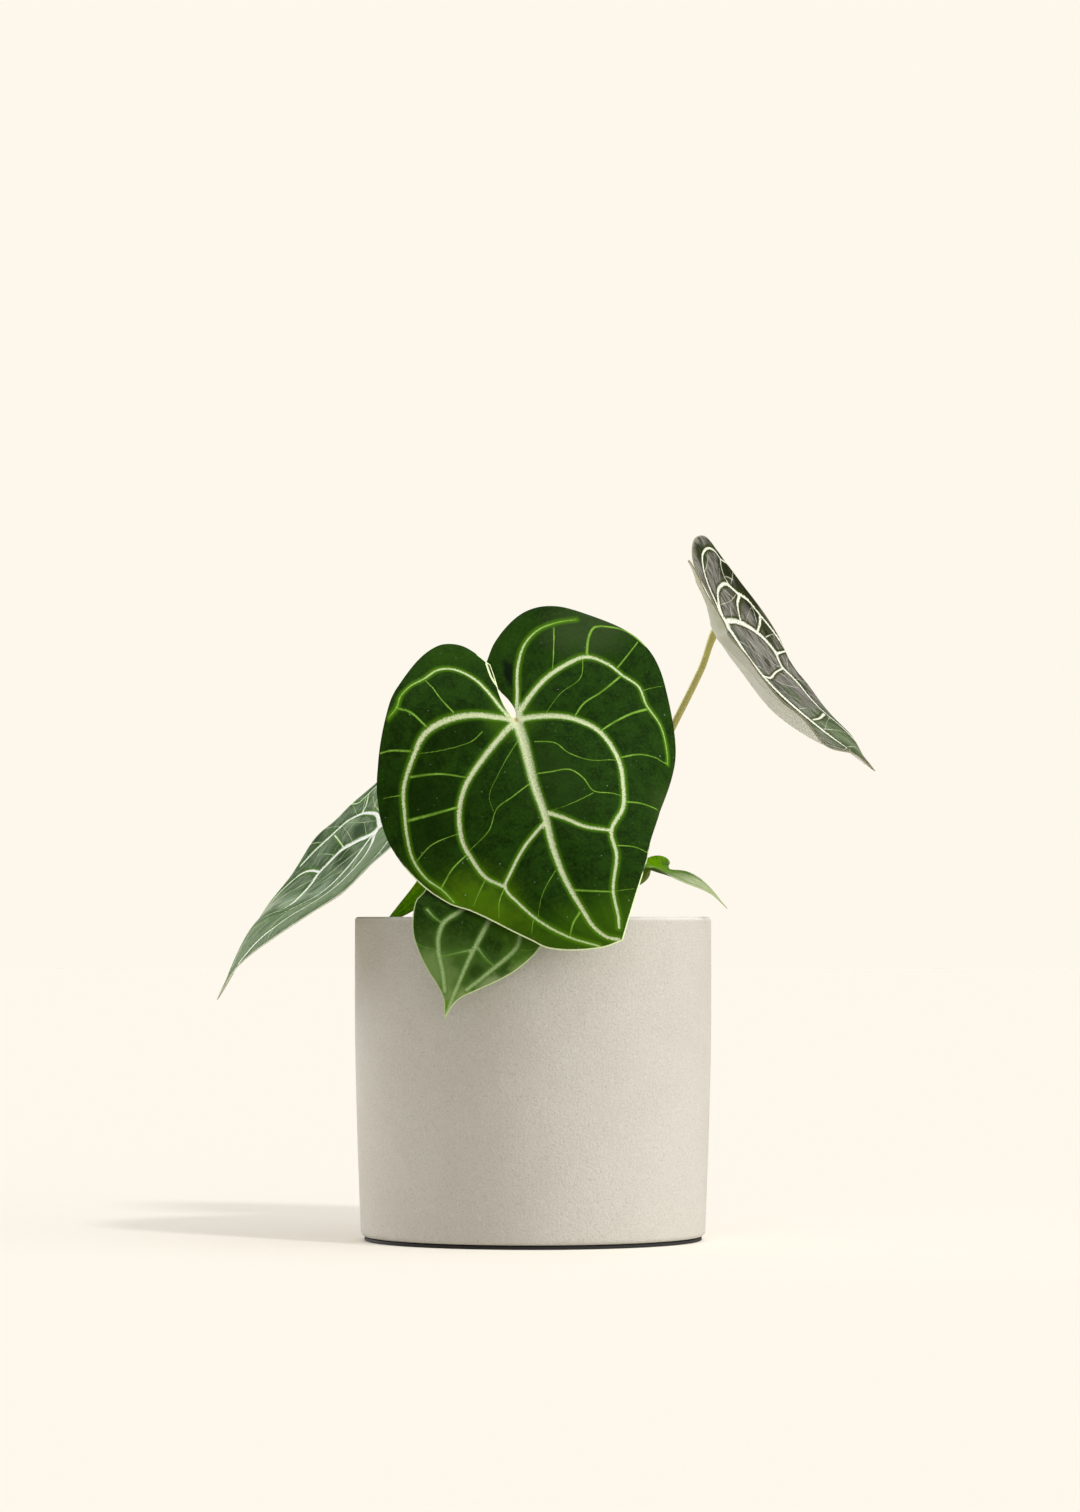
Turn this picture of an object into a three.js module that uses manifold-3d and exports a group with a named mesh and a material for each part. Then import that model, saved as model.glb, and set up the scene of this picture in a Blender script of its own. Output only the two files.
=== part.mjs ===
// A young anthurium with silver-veined heart leaves, standing in a stoneware pot.
// Millimetres, +Z up. The origin is on the floor under the middle of the pot; -Y is the front.
import * as THREE from "three";
import { mergeVertices } from "three/addons/utils/BufferGeometryUtils.js";
import Module from "manifold-3d";

const wasm = await Module();
wasm.setup();

// ---- driving dimensions -------------------------------------------------------------------
const GAP = 0.3; // air between pieces that touch
const POT = {
  height: 136,
  topRadius: 75,
  baseRadius: 72.5,
  taperHeight: 84, // the wall is straight above this height and tapers below it
  wall: 7,
  floor: 9,
  rimRound: 1.6,
  footRound: 2.2,
  insideRound: 6, // between the inner wall and the floor
  sides: 48,
};
const PAD = { thickness: 1.5, radius: 71 };
const SOIL = { top: 120, lump: 2.6, chamfer: 7, sides: 40, rings: 7, seed: 7 };
const CROWN = { bottom: 98, radius: 8, sides: 16 };
const PETIOLE = { radius: 1.55, sides: 8, steps: 11, kneeRadius: 2, kneeLength: 9, kneeSteps: 4 };
const BLADE = {
  thickness: 0.8,
  groove: 0.75, // depth of the furrow over a main vein
  rib: 0.7, // height of the ridge under a main vein
  quilt: 1.1, // rise of the skin between two main veins
  flank: 1.5, // half width of a main vein's furrow near the petiole
  rimStep: 9, // spacing of the points along a rim
};

const COLOURS = {
  clay: { color: 0xbcb3a6, roughness: 0.85 },
  rubber: { color: 0x17150f, roughness: 0.9 },
  mix: { color: 0x4a3524, roughness: 1 },
  sheath: { color: 0x7d7a3c, roughness: 0.75 },
  petiole: { color: 0x8a8438, roughness: 0.55 },
  deepGreen: { color: 0x1f4210, roughness: 0.45 },
  silverGreen: { color: 0x70806a, roughness: 0.5 },
  freshGreen: { color: 0x5f9020, roughness: 0.45 },
};

// ---- curves -------------------------------------------------------------------------------
// A smooth curve through knots [t, values]: cubic between the knots, straight beyond them.
function through(knots) {
  const last = knots.length - 1;
  const rate = (i) => {
    const span = knots[i + 1][0] - knots[i][0];
    return knots[i][1].map((v, k) => (knots[i + 1][1][k] - v) / span);
  };
  const slopes = knots.map((_, i) => {
    if (i === 0) return rate(0);
    if (i === last) return rate(last - 1);
    const after = rate(i);
    return rate(i - 1).map((v, k) => (v + after[k]) / 2);
  });
  return (t) => {
    let i = 0;
    while (i < last - 1 && t > knots[i + 1][0]) i++;
    const span = knots[i + 1][0] - knots[i][0];
    const q = (t - knots[i][0]) / span;
    const c = Math.min(Math.max(q, 0), 1);
    const over = (q - c) * span;
    const value = [];
    const slope = [];
    knots[i][1].forEach((from, k) => {
      const to = knots[i + 1][1][k];
      const out = slopes[i][k] * span;
      const into = slopes[i + 1][k] * span;
      const s =
        (6 * c * c - 6 * c) * (from - to) + (3 * c * c - 4 * c + 1) * out + (3 * c * c - 2 * c) * into;
      const rise = 3 * c * c - 2 * c * c * c;
      const bend = (c * c * c - 2 * c * c + c) * out + (c * c * c - c * c) * into;
      slope.push(s / span);
      value.push(from + (to - from) * rise + bend + (over * s) / span);
    });
    return { value, slope };
  };
}

// A path through points that is walked from 0 to 1 by the length along it.
function walk(points) {
  const reach = [0];
  points.slice(1).forEach((p, i) => reach.push(reach[i] + Math.hypot(...p.map((v, k) => v - points[i][k]))));
  const whole = reach.at(-1);
  const curve = through(points.map((p, i) => [reach[i] / whole, p]));
  return Object.assign((t) => curve(t).value, { whole });
}

const mixed = (from, to, share) => from.map((v, k) => v + (to[k] - v) * share);
const angleCurve = (knots) => {
  const curve = through(knots.map(([b, degrees]) => [b, [THREE.MathUtils.degToRad(degrees)]]));
  return (b) => curve(b).value[0];
};

// ---- leaf surface ---------------------------------------------------------------------------
// A leaf is drawn flat: a runs across it, b along its midrib from the petiole to the tip.
// Its axis bends in space, each half folds up from the axis (fold, degrees) and curls on
// outwards (curl, degrees per 10 mm), so a flat point (a, b) finds its place in the plant.
function leafSurface(leaf) {
  const axisPoints = leaf.axis.map((p) => new THREE.Vector3(...p));
  const reach = [0];
  axisPoints.slice(1).forEach((p, i) => reach.push(reach[i] + p.distanceTo(axisPoints[i])));
  const start = reach[leaf.petioleAt];
  const axis = through(leaf.axis.map((p, i) => [reach[i] - start, p]));
  const facing = through(leaf.facing);
  const halves = [leaf.left, leaf.right].map(({ fold, curl }) => ({
    fold: angleCurve(fold),
    curl: angleCurve(curl),
  }));
  return (side, a, b, lift) => {
    const at = axis(b);
    const along = new THREE.Vector3(...at.slope).normalize();
    const across = new THREE.Vector3(...facing(b).value).cross(along).normalize();
    const up = along.clone().cross(across);
    const sign = side ? 1 : -1;
    const { fold, curl } = halves[side];
    const first = fold(b);
    const turn = curl(b) / 10 + 1.37e-5;
    const last = first + turn * a * sign;
    const out = (Math.sin(last) - Math.sin(first)) / turn;
    const rise = (Math.cos(first) - Math.cos(last)) / turn;
    return new THREE.Vector3(...at.value)
      .addScaledVector(across, sign * (out - Math.sin(last) * lift))
      .addScaledVector(up, rise + Math.cos(last) * lift);
  };
}

// The share of the way along a margin at which it comes nearest to a point.
function nearest(margin, point) {
  const steps = 400;
  let best = 0;
  let least = Infinity;
  for (let i = 0; i <= steps; i++) {
    const away = Math.hypot(...margin(i / steps).map((v, k) => v - point[k]));
    if (away < least) {
      least = away;
      best = i / steps;
    }
  }
  return best;
}

// The furrow's edge beside a vein: the vein's path, moved sideways by its half width.
function beside(vein, way, width) {
  return (t) => {
    const [a0, b0] = vein(Math.max(t - 0.01, 0));
    const [a1, b1] = vein(Math.min(t + 0.01, 1));
    const size = Math.hypot(a1 - a0, b1 - b0);
    const reach = way * width * Math.min(1, 7 * t) * Math.sqrt(1.06 - t);
    const [a, b] = vein(t);
    return [a - ((b1 - b0) / size) * reach, b + ((a1 - a0) / size) * reach];
  };
}

// The guides of a blade in order round the petiole point: the edge of the left sinus, the left
// veins, the midrib, the right veins and the edge of the right sinus. Each is a path from the
// petiole point to the rim, with the share of its margin where it ends.
function bladeGuides(leaf, margins) {
  const guides = [];
  const add = (side, path, role) => guides.push({ side, path, role, end: nearest(margins[side], path(1)) });
  const addVein = (side, points, weight, way) => {
    const vein = walk(points);
    add(side, beside(vein, -way, BLADE.flank * weight), "flank");
    add(side, vein, "vein");
    add(side, beside(vein, way, BLADE.flank * weight), "flank");
  };
  add(0, walk(leaf.left.sinus), "sinus");
  leaf.left.veins.forEach((points, i) => addVein(0, points, leaf.veinWeights[i], -1));
  const midrib = walk(leaf.midrib);
  const midFlank = BLADE.flank * leaf.veinWeights.at(-1);
  guides.push({ side: 0, path: beside(midrib, 1, midFlank), role: "flank", end: 0.985 });
  guides.push({ side: 0, path: midrib, role: "vein", end: 1 });
  guides.push({ side: 1, path: beside(midrib, -1, midFlank), role: "flank", end: 0.985 });
  [...leaf.right.veins].reverse().forEach((points, i, all) =>
    addVein(1, points, leaf.veinWeights[all.length - 1 - i], -1));
  add(1, walk(leaf.right.sinus), "sinus");
  return guides;
}

// The rays of a blade: its guides, with more between them that keep to the rim.
function bladeRays(leaf) {
  const margins = [walk(leaf.left.margin), walk(leaf.right.margin)];
  const guides = bladeGuides(leaf, margins);
  const rays = [];
  guides.forEach((guide, i) => {
    const rimEnd = margins[guide.side](guide.end);
    const own = (t) => {
      const p = guide.path(t);
      const tip = guide.path(1);
      return p.map((v, k) => v + t ** 3 * (rimEnd[k] - tip[k]));
    };
    rays.push({ side: guide.side, path: own, role: guide.role, swell: 0 });
    const next = guides[i + 1];
    if (!next || (guide.role !== "sinus" && next.role === "vein") || guide.role === "vein") return;
    const side = guide.side;
    const rimLength = Math.abs(next.end - guide.end) * margins[side].whole;
    const between = Math.max(1, Math.round(rimLength / BLADE.rimStep) - 1);
    for (let j = 1; j <= between; j++) {
      const share = j / (between + 1);
      const rim = margins[side](guide.end + (next.end - guide.end) * share);
      const path = (t) => {
        const p = mixed(guide.path(t), next.path(t), share);
        const tip = mixed(guide.path(1), next.path(1), share);
        return p.map((v, k) => v + t ** 3 * (rim[k] - tip[k]));
      };
      rays.push({ side, path, role: "skin", swell: Math.sin(Math.PI * share) });
    }
  });
  return rays;
}

// The closed blade. Both faces are split into the same triangles, the lower one runs lower
// under the veins, and extra thickens the whole blade for cutting its neighbours clear.
function bladeGeometry(leaf, extra = 0) {
  const surface = leafSurface(leaf);
  const rays = bladeRays(leaf);
  const rings = leaf.rings;
  const halfThick = BLADE.thickness / 2 + extra;
  const positions = [];
  const place = (ray, t, under) => {
    const [a, b] = ray.path(t);
    const fade = Math.sqrt(1.02 - t) * Math.min(1, 4 * t);
    const swell = BLADE.quilt * leaf.relief * ray.swell * Math.sin(Math.PI * Math.min(t, 1)) ** 0.7;
    const groove = ray.role === "vein" ? BLADE.groove * leaf.relief * fade : 0;
    const wave = leaf.wave * t ** 4 * Math.sin(leaf.waves * (b + 0.4 * a * (ray.side ? 1 : -1)));
    const rib = ray.role === "vein" ? BLADE.rib * leaf.relief * Math.sqrt(1.02 - t) : 0;
    const skin = swell - groove + wave;
    const side = b > 0 ? Number(a > 0) : ray.side;
    const lift = under ? skin - halfThick - rib : skin + halfThick;
    positions.push(...surface(side, a, b, lift).toArray());
  };
  const faces = [];
  const perFace = 1 + rays.length * rings;
  [false, true].forEach((under) => {
    positions.push(...surface(1, 0, 0, under ? -halfThick - BLADE.rib * leaf.relief : halfThick).toArray());
    rays.forEach((ray) => {
      for (let k = 1; k <= rings; k++) place(ray, k / rings, under);
    });
  });
  const at = (ray, ring, under) => (under ? perFace : 0) + (ring === 0 ? 0 : 1 + ray * rings + ring - 1);
  for (let i = 0; i + 1 < rays.length; i++) {
    for (let k = 0; k < rings; k++) {
      const quad = [at(i, k), at(i, k + 1), at(i + 1, k + 1), at(i + 1, k)];
      const corners = k === 0 ? [[quad[0], quad[1], quad[2]]] : splitQuad(quad, i);
      corners.forEach(([p, q, r]) => {
        faces.push([p, q, r], [p + perFace, r + perFace, q + perFace]);
      });
    }
  }
  const edge = [];
  for (let k = 0; k < rings; k++) edge.push([at(0, k), at(0, k + 1)]);
  for (let i = 0; i + 1 < rays.length; i++) edge.push([at(i, rings), at(i + 1, rings)]);
  for (let k = rings; k > 0; k--) edge.push([at(rays.length - 1, k), at(rays.length - 1, k - 1)]);
  edge.forEach(([p, q]) => faces.push([q, p, p + perFace], [q, p + perFace, q + perFace]));
  const geometry = new THREE.BufferGeometry();
  geometry.setAttribute("position", new THREE.Float32BufferAttribute(positions, 3));
  geometry.setIndex(faces.flat());
  return geometry;
}

// The diagonal of each quad leans the other way on every second ray.
function splitQuad([p, q, r, s], ray) {
  return ray % 2 ? [[p, q, r], [p, r, s]] : [[p, q, s], [q, r, s]];
}

// ---- solids -------------------------------------------------------------------------------
function solidOf(geometry) {
  const plain = geometry.clone();
  plain.deleteAttribute("normal");
  plain.deleteAttribute("uv");
  const merged = mergeVertices(plain, 1e-4);
  return new wasm.Manifold(
    new wasm.Mesh({
      numProp: 3,
      vertProperties: merged.attributes.position.array,
      triVerts: new Uint32Array(merged.index.array),
    }),
  );
}

function geometryOf(solid) {
  const mesh = solid.getMesh();
  const geometry = new THREE.BufferGeometry();
  geometry.setAttribute("position", new THREE.Float32BufferAttribute(mesh.vertProperties, 3));
  geometry.setIndex(Array.from(mesh.triVerts));
  return geometry;
}

function turned(profile, sides) {
  const lathe = new THREE.LatheGeometry(profile.map(([r, z]) => new THREE.Vector2(r, z)), sides);
  return lathe.rotateX(Math.PI / 2);
}

// A quarter round of a profile, from one angle to another about a centre.
function quarter(centre, radius, from, to, steps = 3) {
  return Array.from({ length: steps + 1 }, (_, i) => {
    const angle = THREE.MathUtils.degToRad(from + ((to - from) * i) / steps);
    return [centre[0] + radius * Math.cos(angle), centre[1] + radius * Math.sin(angle)];
  });
}

function tube(points, radius, steps = PETIOLE.steps) {
  const path = new THREE.CatmullRomCurve3(points.map((p) => new THREE.Vector3(...p)));
  const section = new THREE.Shape();
  section.absarc(0, 0, radius, 0, 2 * Math.PI, false);
  return new THREE.ExtrudeGeometry(section, {
    extrudePath: path,
    steps,
    curveSegments: PETIOLE.sides / 2,
    bevelEnabled: false,
  });
}

// ---- pot, pad, soil, crown --------------------------------------------------------------------
const potBottom = PAD.thickness + GAP;
const potInside = POT.topRadius - POT.wall;
const potFloor = potBottom + POT.floor;

function potGeometry() {
  const { rimRound, footRound, insideRound } = POT;
  return turned(
    [
      [0, potBottom],
      ...quarter([POT.baseRadius - footRound, potBottom + footRound], footRound, -90, 0),
      [POT.topRadius, POT.taperHeight],
      ...quarter([POT.topRadius - rimRound, POT.height - rimRound], rimRound, 0, 90),
      ...quarter([potInside + rimRound, POT.height - rimRound], rimRound, 90, 180),
      ...quarter([potInside - insideRound, potFloor + insideRound], insideRound, 0, -90),
      [0, potFloor],
    ],
    POT.sides,
  );
}

function padGeometry() {
  const profile = [[0, 0], [PAD.radius, 0], [PAD.radius, PAD.thickness], [0, PAD.thickness]];
  return turned(profile, POT.sides);
}

function seeded(seed) {
  let state = seed;
  return () => {
    state = (state * 16807) % 2147483647;
    return state / 2147483647;
  };
}

// The plug of potting mix: a cylinder with a chamfered foot and a lumpy top, ring by ring.
function soilGeometry() {
  const radius = potInside - GAP;
  const foot = potFloor + GAP;
  const random = seeded(SOIL.seed);
  const rows = [[radius - SOIL.chamfer, foot, 0], [radius, foot + SOIL.chamfer, 0]];
  for (let k = 0; k < SOIL.rings; k++) rows.push([radius * (1 - k / SOIL.rings), SOIL.top, SOIL.lump]);
  const positions = [0, 0, foot];
  rows.forEach(([r, z, lump]) => {
    for (let i = 0; i < SOIL.sides; i++) {
      const angle = (2 * Math.PI * i) / SOIL.sides;
      positions.push(r * Math.cos(angle), r * Math.sin(angle), z + (random() * 2 - 1) * lump);
    }
  });
  positions.push(0, 0, SOIL.top);
  const at = (row, i) => 1 + row * SOIL.sides + (i % SOIL.sides);
  const faces = [];
  for (let i = 0; i < SOIL.sides; i++) {
    faces.push([0, at(0, i + 1), at(0, i)]);
    faces.push([at(rows.length - 1, i), at(rows.length - 1, i + 1), positions.length / 3 - 1]);
    for (let row = 0; row + 1 < rows.length; row++) {
      faces.push([at(row, i), at(row, i + 1), at(row + 1, i + 1)]);
      faces.push([at(row, i), at(row + 1, i + 1), at(row + 1, i)]);
    }
  }
  const geometry = new THREE.BufferGeometry();
  geometry.setAttribute("position", new THREE.Float32BufferAttribute(positions, 3));
  geometry.setIndex(faces.flat());
  return geometry;
}

// The short stem with the sheaths that wrap the petioles' feet; grow widens it to cut its hole.
function crownGeometry(grow = 0) {
  const { bottom, radius, sides } = CROWN;
  return turned(
    [
      [0, bottom - grow],
      [radius - 2 + grow, bottom - grow],
      [radius + grow, bottom + 4],
      [radius + 0.8 + grow, SOIL.top],
      [radius + 0.2 + grow, SOIL.top + 6],
      [radius - 3 + grow, SOIL.top + 9.5],
      [0, SOIL.top + 11],
    ],
    sides,
  );
}

// ---- leaves --------------------------------------------------------------------------------
// A plain heart half, for a leaf 121 mm from petiole to tip; scaled and widened for each leaf.
const HEART = {
  length: 121,
  sinus: [[0, 0], [1.6, -9], [1.8, -19], [1, -29]],
  margin: [
    [1, -29], [4, -37], [11, -43], [20, -46], [29, -45], [39, -41], [49, -33], [58, -21],
    [64, -8], [68, 6], [70, 20], [68.5, 34], [62, 50], [54, 62], [45, 72], [36, 81],
    [26, 90], [17, 98], [9, 104.5], [4, 110], [1.6, 116], [0, 121],
  ],
  veins: [
    [[0, 0], [7, -16], [14, -29], [25, -35], [38, -32], [47, -25], [53, -16], [61, -15]],
    [[0, 0], [14, -6], [30, -8], [43, -2], [52, 10], [58, 25], [60, 40], [57, 57]],
    [[0, 0], [14, 8], [27, 16], [36, 29], [38, 45], [32, 61], [26, 76], [14, 95], [7, 106]],
  ],
};

// A half of the heart: mirrored with sign -1, its width and its lobe's length changed smoothly.
function heartHalf(sign, scale, widths, lobe = 1) {
  const width = through(widths.map(([b, w]) => [b, [w]]));
  const bend = ([a, b]) => {
    const long = b < 0 ? b * lobe : b;
    const wide = width(Math.min(Math.max(b * scale, widths[0][0]), widths.at(-1)[0])).value[0];
    return [sign * a * scale * wide, long * scale];
  };
  return {
    sinus: HEART.sinus.map(bend),
    margin: HEART.margin.map(bend),
    veins: HEART.veins.map((vein) => vein.map(bend)),
  };
}

const upright = (length) => [[0, 0], [0, length / 3], [0, (2 * length) / 3], [0, length]];

const LEAVES = [
  {
    name: "leaf_front",
    colour: COLOURS.deepGreen,
    axis: [
      [-23, -33, 252], [-15, -41, 235], [-7, -51, 217], [4, -64, 194],
      [15, -76, 171], [25, -86, 149], [36, -92, 127],
    ],
    petioleAt: 2,
    facing: [
      [-40, [0.1, -0.93, 0.3]], [0, [0.1, -0.93, 0.36]], [60, [0.08, -0.97, 0.2]], [110, [0.05, -1, 0.15]],
    ],
    left: {
      fold: [[-45, 20], [-14, 20], [0, 6], [18, 0], [110, 0]],
      curl: [[-40, -2], [0, -2.5], [60, -2.5], [110, -2]],
      sinus: [[0, 0], [-1.5, -6], [-2, -13], [-1.3, -21], [-0.8, -28.5]],
      margin: [
        [-0.8, -28.5], [-9.5, -40], [-19, -42], [-45.5, -26], [-57.5, -6.5], [-66, 9], [-69.2, 30],
        [-57.5, 64.5], [-50.3, 72], [-33.5, 92], [-28.5, 98.2], [-8.5, 108], [0, 108.8],
      ],
      veins: [
        [
          [0, 0], [-4.5, -9.5], [-12.5, -25], [-25, -30], [-33, -27], [-40, -24.5],
          [-46, -19.5], [-49, -14.5], [-56, -9],
        ],
        [
          [0, 0], [-12, -4.5], [-36, -5], [-45.5, 0.5], [-51, 8.5], [-57, 15], [-59, 26.5],
          [-63, 37], [-62, 48], [-58, 59], [-55, 67], [-48, 75.5],
        ],
        [
          [0, 0], [-29, 20], [-40, 36], [-42, 48], [-40, 58], [-34, 69.5], [-29, 86],
          [-15, 104], [-9.5, 107.8],
        ],
      ],
    },
    right: {
      fold: [[-45, -4], [-14, -2], [0, 0], [18, 0], [110, 0]],
      curl: [[-40, -1.5], [-10, -2.5], [30, -7], [70, -9], [110, -4]],
      sinus: [[0, 0], [1.5, -5], [0.7, -11], [-1, -15.5], [-2.8, -22], [-2.5, -29]],
      margin: [
        [-2.5, -29], [6, -38.2], [21, -47], [29.5, -48], [38, -45.7], [47, -40], [64.5, -25.5],
        [69, -17], [70.3, -5], [68.5, 24], [63.8, 34], [30.5, 71], [24, 81.5], [0, 108.8],
      ],
      veins: [
        [[0, 0], [2.5, -5], [5.5, -13.5], [16.5, -32], [25, -37], [34.5, -38.5], [52, -36.5]],
        [
          [0, 0], [23, -17.5], [31, -19.5], [40.5, -20.5], [48, -15.5], [54.5, -5], [57.5, 5.5],
          [61, 17], [61, 27], [63, 34.5],
        ],
        [
          [0, 0], [21, 7], [29, 14.5], [33.5, 34], [29, 47.5], [23, 58], [16, 63], [15.5, 70],
          [3.5, 96], [3, 104.5],
        ],
      ],
    },
    midrib: [
      [0, 0], [-1.2, 10.5], [-5, 32], [-6.3, 46.5], [-10, 74], [-9.3, 87], [-8.5, 95.5],
      [-5, 105], [0, 108.8],
    ],
    veinWeights: [0.8, 1, 1, 1.3],
    rings: 13,
    relief: 1,
    wave: 0.5,
    waves: 0.16,
    petiole: [[0.5, -1.5, 112], [-1, -6, 135], [-4, -18, 170], [-6, -33, 201], [-7, -45, 214]],
  },
  {
    name: "leaf_left",
    colour: COLOURS.silverGreen,
    axis: [[-52, 11, 189], [-65, 6, 173], [-86.5, 3, 148], [-115.5, -2.5, 130], [-132.5, -3.5, 101]],
    petioleAt: 1,
    facing: [[0, [-0.7, -0.29, 0.65]], [100, [-0.72, -0.16, 0.67]]],
    left: {
      fold: [[-30, 7], [36, -6.5], [102, 10]],
      curl: [[-30, -2.5], [36, 4], [102, -15]],
      ...heartHalf(-1, 0.837, [[-34, 1.02], [0, 0.92], [34, 0.98], [71, 1.19]]),
    },
    right: {
      fold: [[-30, 12], [36, 1], [102, 14]],
      curl: [[-30, -5], [36, 2], [102, -13]],
      ...heartHalf(1, 0.837, [[-34, 1.01], [0, 0.84], [34, 1.03], [71, 1.17]]),
    },
    midrib: upright(101.3),
    veinWeights: [0.7, 0.9, 0.9, 1.1],
    rings: 10,
    relief: 0.8,
    wave: 0.5,
    waves: 0.2,
    petiole: [[-5.5, 1.8, 112], [-8, 4, 123], [-16, 11, 141], [-31, 16, 159], [-50, 13, 167]],
  },
  {
    name: "leaf_tall",
    colour: COLOURS.silverGreen,
    axis: [[71, 14, 277.5], [81.5, 18.5, 260.5], [99.5, 19, 236], [121.5, 20, 216], [145.5, 21, 198]],
    petioleAt: 1,
    facing: [[0, [0.65, -0.34, 0.67]], [90, [0.66, -0.31, 0.68]]],
    left: {
      fold: [[-26, 7.5], [0, -15.5], [20, -13.5], [40, -24], [60, -14], [80, 26]],
      curl: [[-26, 4.5], [0, 13], [20, 14], [40, 19], [60, 14.5], [80, -12]],
      ...heartHalf(-1, 0.745, [[-30, 0.95], [0, 0.92], [30, 0.81], [63, 1.24]]),
    },
    right: {
      fold: [[-26, 16], [32, -9.5], [90, 28]],
      curl: [[-26, -4.5], [32, 5.5], [90, -19.5]],
      ...heartHalf(1, 0.745, [[-30, 0.92], [0, 0.9], [30, 0.85], [63, 1.38]], 1.05),
    },
    midrib: upright(90.2),
    veinWeights: [0.7, 0.9, 0.9, 1.1],
    rings: 10,
    relief: 0.8,
    wave: 0.3,
    waves: 0.2,
    petiole: [
      [5, 2, 112], [9, 3.5, 122], [22, 6, 145], [41.5, 9, 182], [60.2, 13, 218.5], [71.3, 16.5, 241],
    ],
  },
  {
    name: "leaf_low",
    colour: COLOURS.deepGreen,
    axis: [
      [1, -38, 173.5], [-5.5, -53, 159], [-11.5, -70, 147], [-18.5, -82.5, 133],
      [-25.5, -86.5, 119.5], [-31.5, -87.5, 105.5], [-36.5, -86, 93],
    ],
    petioleAt: 1,
    facing: [[-30, [0.1, -0.6, 0.8]], [0, [0.1, -0.75, 0.65]], [40, [0, -1, 0.1]], [90, [0, -1, -0.05]]],
    left: {
      fold: [[0, 4], [40, -4], [85, 0]],
      curl: [[0, -4], [40, -6], [85, 0]],
      ...heartHalf(-1, 0.704, [[-20, 0.65], [10, 0.65], [35, 0.7], [50, 0.93], [65, 1.12], [78, 1.1]], 0.6),
    },
    right: {
      fold: [[0, 6], [40, 3], [85, 0]],
      curl: [[0, -2], [40, -3], [85, 0]],
      ...heartHalf(1, 0.704, [[-20, 0.52], [10, 0.55], [35, 0.55], [50, 0.64], [65, 0.69], [78, 0.45]], 0.6),
    },
    midrib: upright(85.2),
    veinWeights: [0.5, 0.7, 0.7, 0.9],
    rings: 8,
    relief: 0.7,
    wave: 0.3,
    waves: 0.25,
    petiole: [[-2, -5.5, 112], [-3.5, -8, 123], [-5, -17, 139], [-5, -32, 151], [-5.5, -43, 155]],
  },
  {
    name: "leaf_new",
    colour: COLOURS.freshGreen,
    axis: [[44, -6, 160], [48, -10, 157], [59.5, -15, 154], [71, -20, 148.5], [81, -22, 139.5]],
    petioleAt: 1,
    facing: [[0, [0.35, 0.1, 0.92]], [45, [0.5, 0.18, 0.86]]],
    left: {
      fold: [[-10, 10], [0, -5], [12, -24], [40, -3.5]],
      curl: [[-10, 6.5], [0, -3.5], [12, 13], [40, -19]],
      ...heartHalf(-1, 0.332, [[-14, 0.85], [30, 0.86]], 0.6),
    },
    right: {
      fold: [[-10, 64], [0, 22], [12, 15], [40, 19.5]],
      curl: [[-10, -3], [0, -4.5], [12, 2], [40, 2]],
      ...heartHalf(1, 0.332, [[-14, 0.75], [30, 0.71]], 0.35),
    },
    midrib: upright(40.2),
    veinWeights: [0.3, 0.35, 0.35, 0.5],
    rings: 6,
    relief: 0.4,
    wave: 0.2,
    waves: 0.4,
    petiole: [[5, -2.8, 112], [8.5, -3.8, 123], [19, -6, 136], [41, -10, 149]],
  },
  {
    name: "leaf_back",
    colour: COLOURS.freshGreen,
    axis: [
      [-26.5, -12, 167.5], [-32.5, -13, 160.5], [-42, -14, 149.5], [-53.5, -14.5, 139.5], [-64.5, -15, 131],
    ],
    petioleAt: 1,
    facing: [[0, [-0.66, -0.22, 0.72]], [50, [-0.62, -0.2, 0.76]]],
    left: {
      fold: [[0, 3], [40, 0]],
      curl: [[0, 2], [40, 0]],
      ...heartHalf(-1, 0.361, [[-14, 0.9], [18, 1], [40, 1.3]], 0.8),
    },
    right: {
      fold: [[0, 3], [40, 0]],
      curl: [[0, 2], [40, 0]],
      ...heartHalf(1, 0.361, [[-14, 0.9], [18, 1], [40, 1.3]], 0.8),
    },
    midrib: upright(43.7),
    veinWeights: [0.3, 0.4, 0.4, 0.55],
    rings: 6,
    relief: 0.45,
    wave: 0.2,
    waves: 0.35,
    petiole: [[-5.5, -2.2, 112], [-8.5, -4, 125], [-17, -8.5, 143], [-26.5, -12, 153]],
  },
];

// A petiole meets its blade square, where the midrib starts, and ends just under the skin.
function petiolePath(leaf) {
  const joint = [-3.5, -0.9].map((lift) => leafSurface(leaf)(1, 0, 0, lift).toArray());
  return [...leaf.petiole, ...joint];
}

function petioleSolid(leaf) {
  const path = petiolePath(leaf);
  const curve = new THREE.CatmullRomCurve3(path.map((p) => new THREE.Vector3(...p)));
  const kneeStart = 1 - PETIOLE.kneeLength / curve.getLength();
  const knee = [0, 0.5, 1].map((s) => curve.getPointAt(kneeStart + (1 - kneeStart) * s).toArray());
  return solidOf(tube(path, PETIOLE.radius))
    .add(solidOf(tube(knee, PETIOLE.kneeRadius, PETIOLE.kneeSteps)))
    .subtract(solidOf(bladeGeometry(leaf, GAP)));
}

// ---- assembly --------------------------------------------------------------------------------
function meshOf(name, geometry, look) {
  const mesh = new THREE.Mesh(geometry, new THREE.MeshStandardMaterial({ ...look, metalness: 0 }));
  mesh.name = name;
  return mesh;
}

const plant = new THREE.Group();
plant.add(meshOf("pot", potGeometry(), COLOURS.clay));
plant.add(meshOf("base_pad", padGeometry(), COLOURS.rubber));

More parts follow.
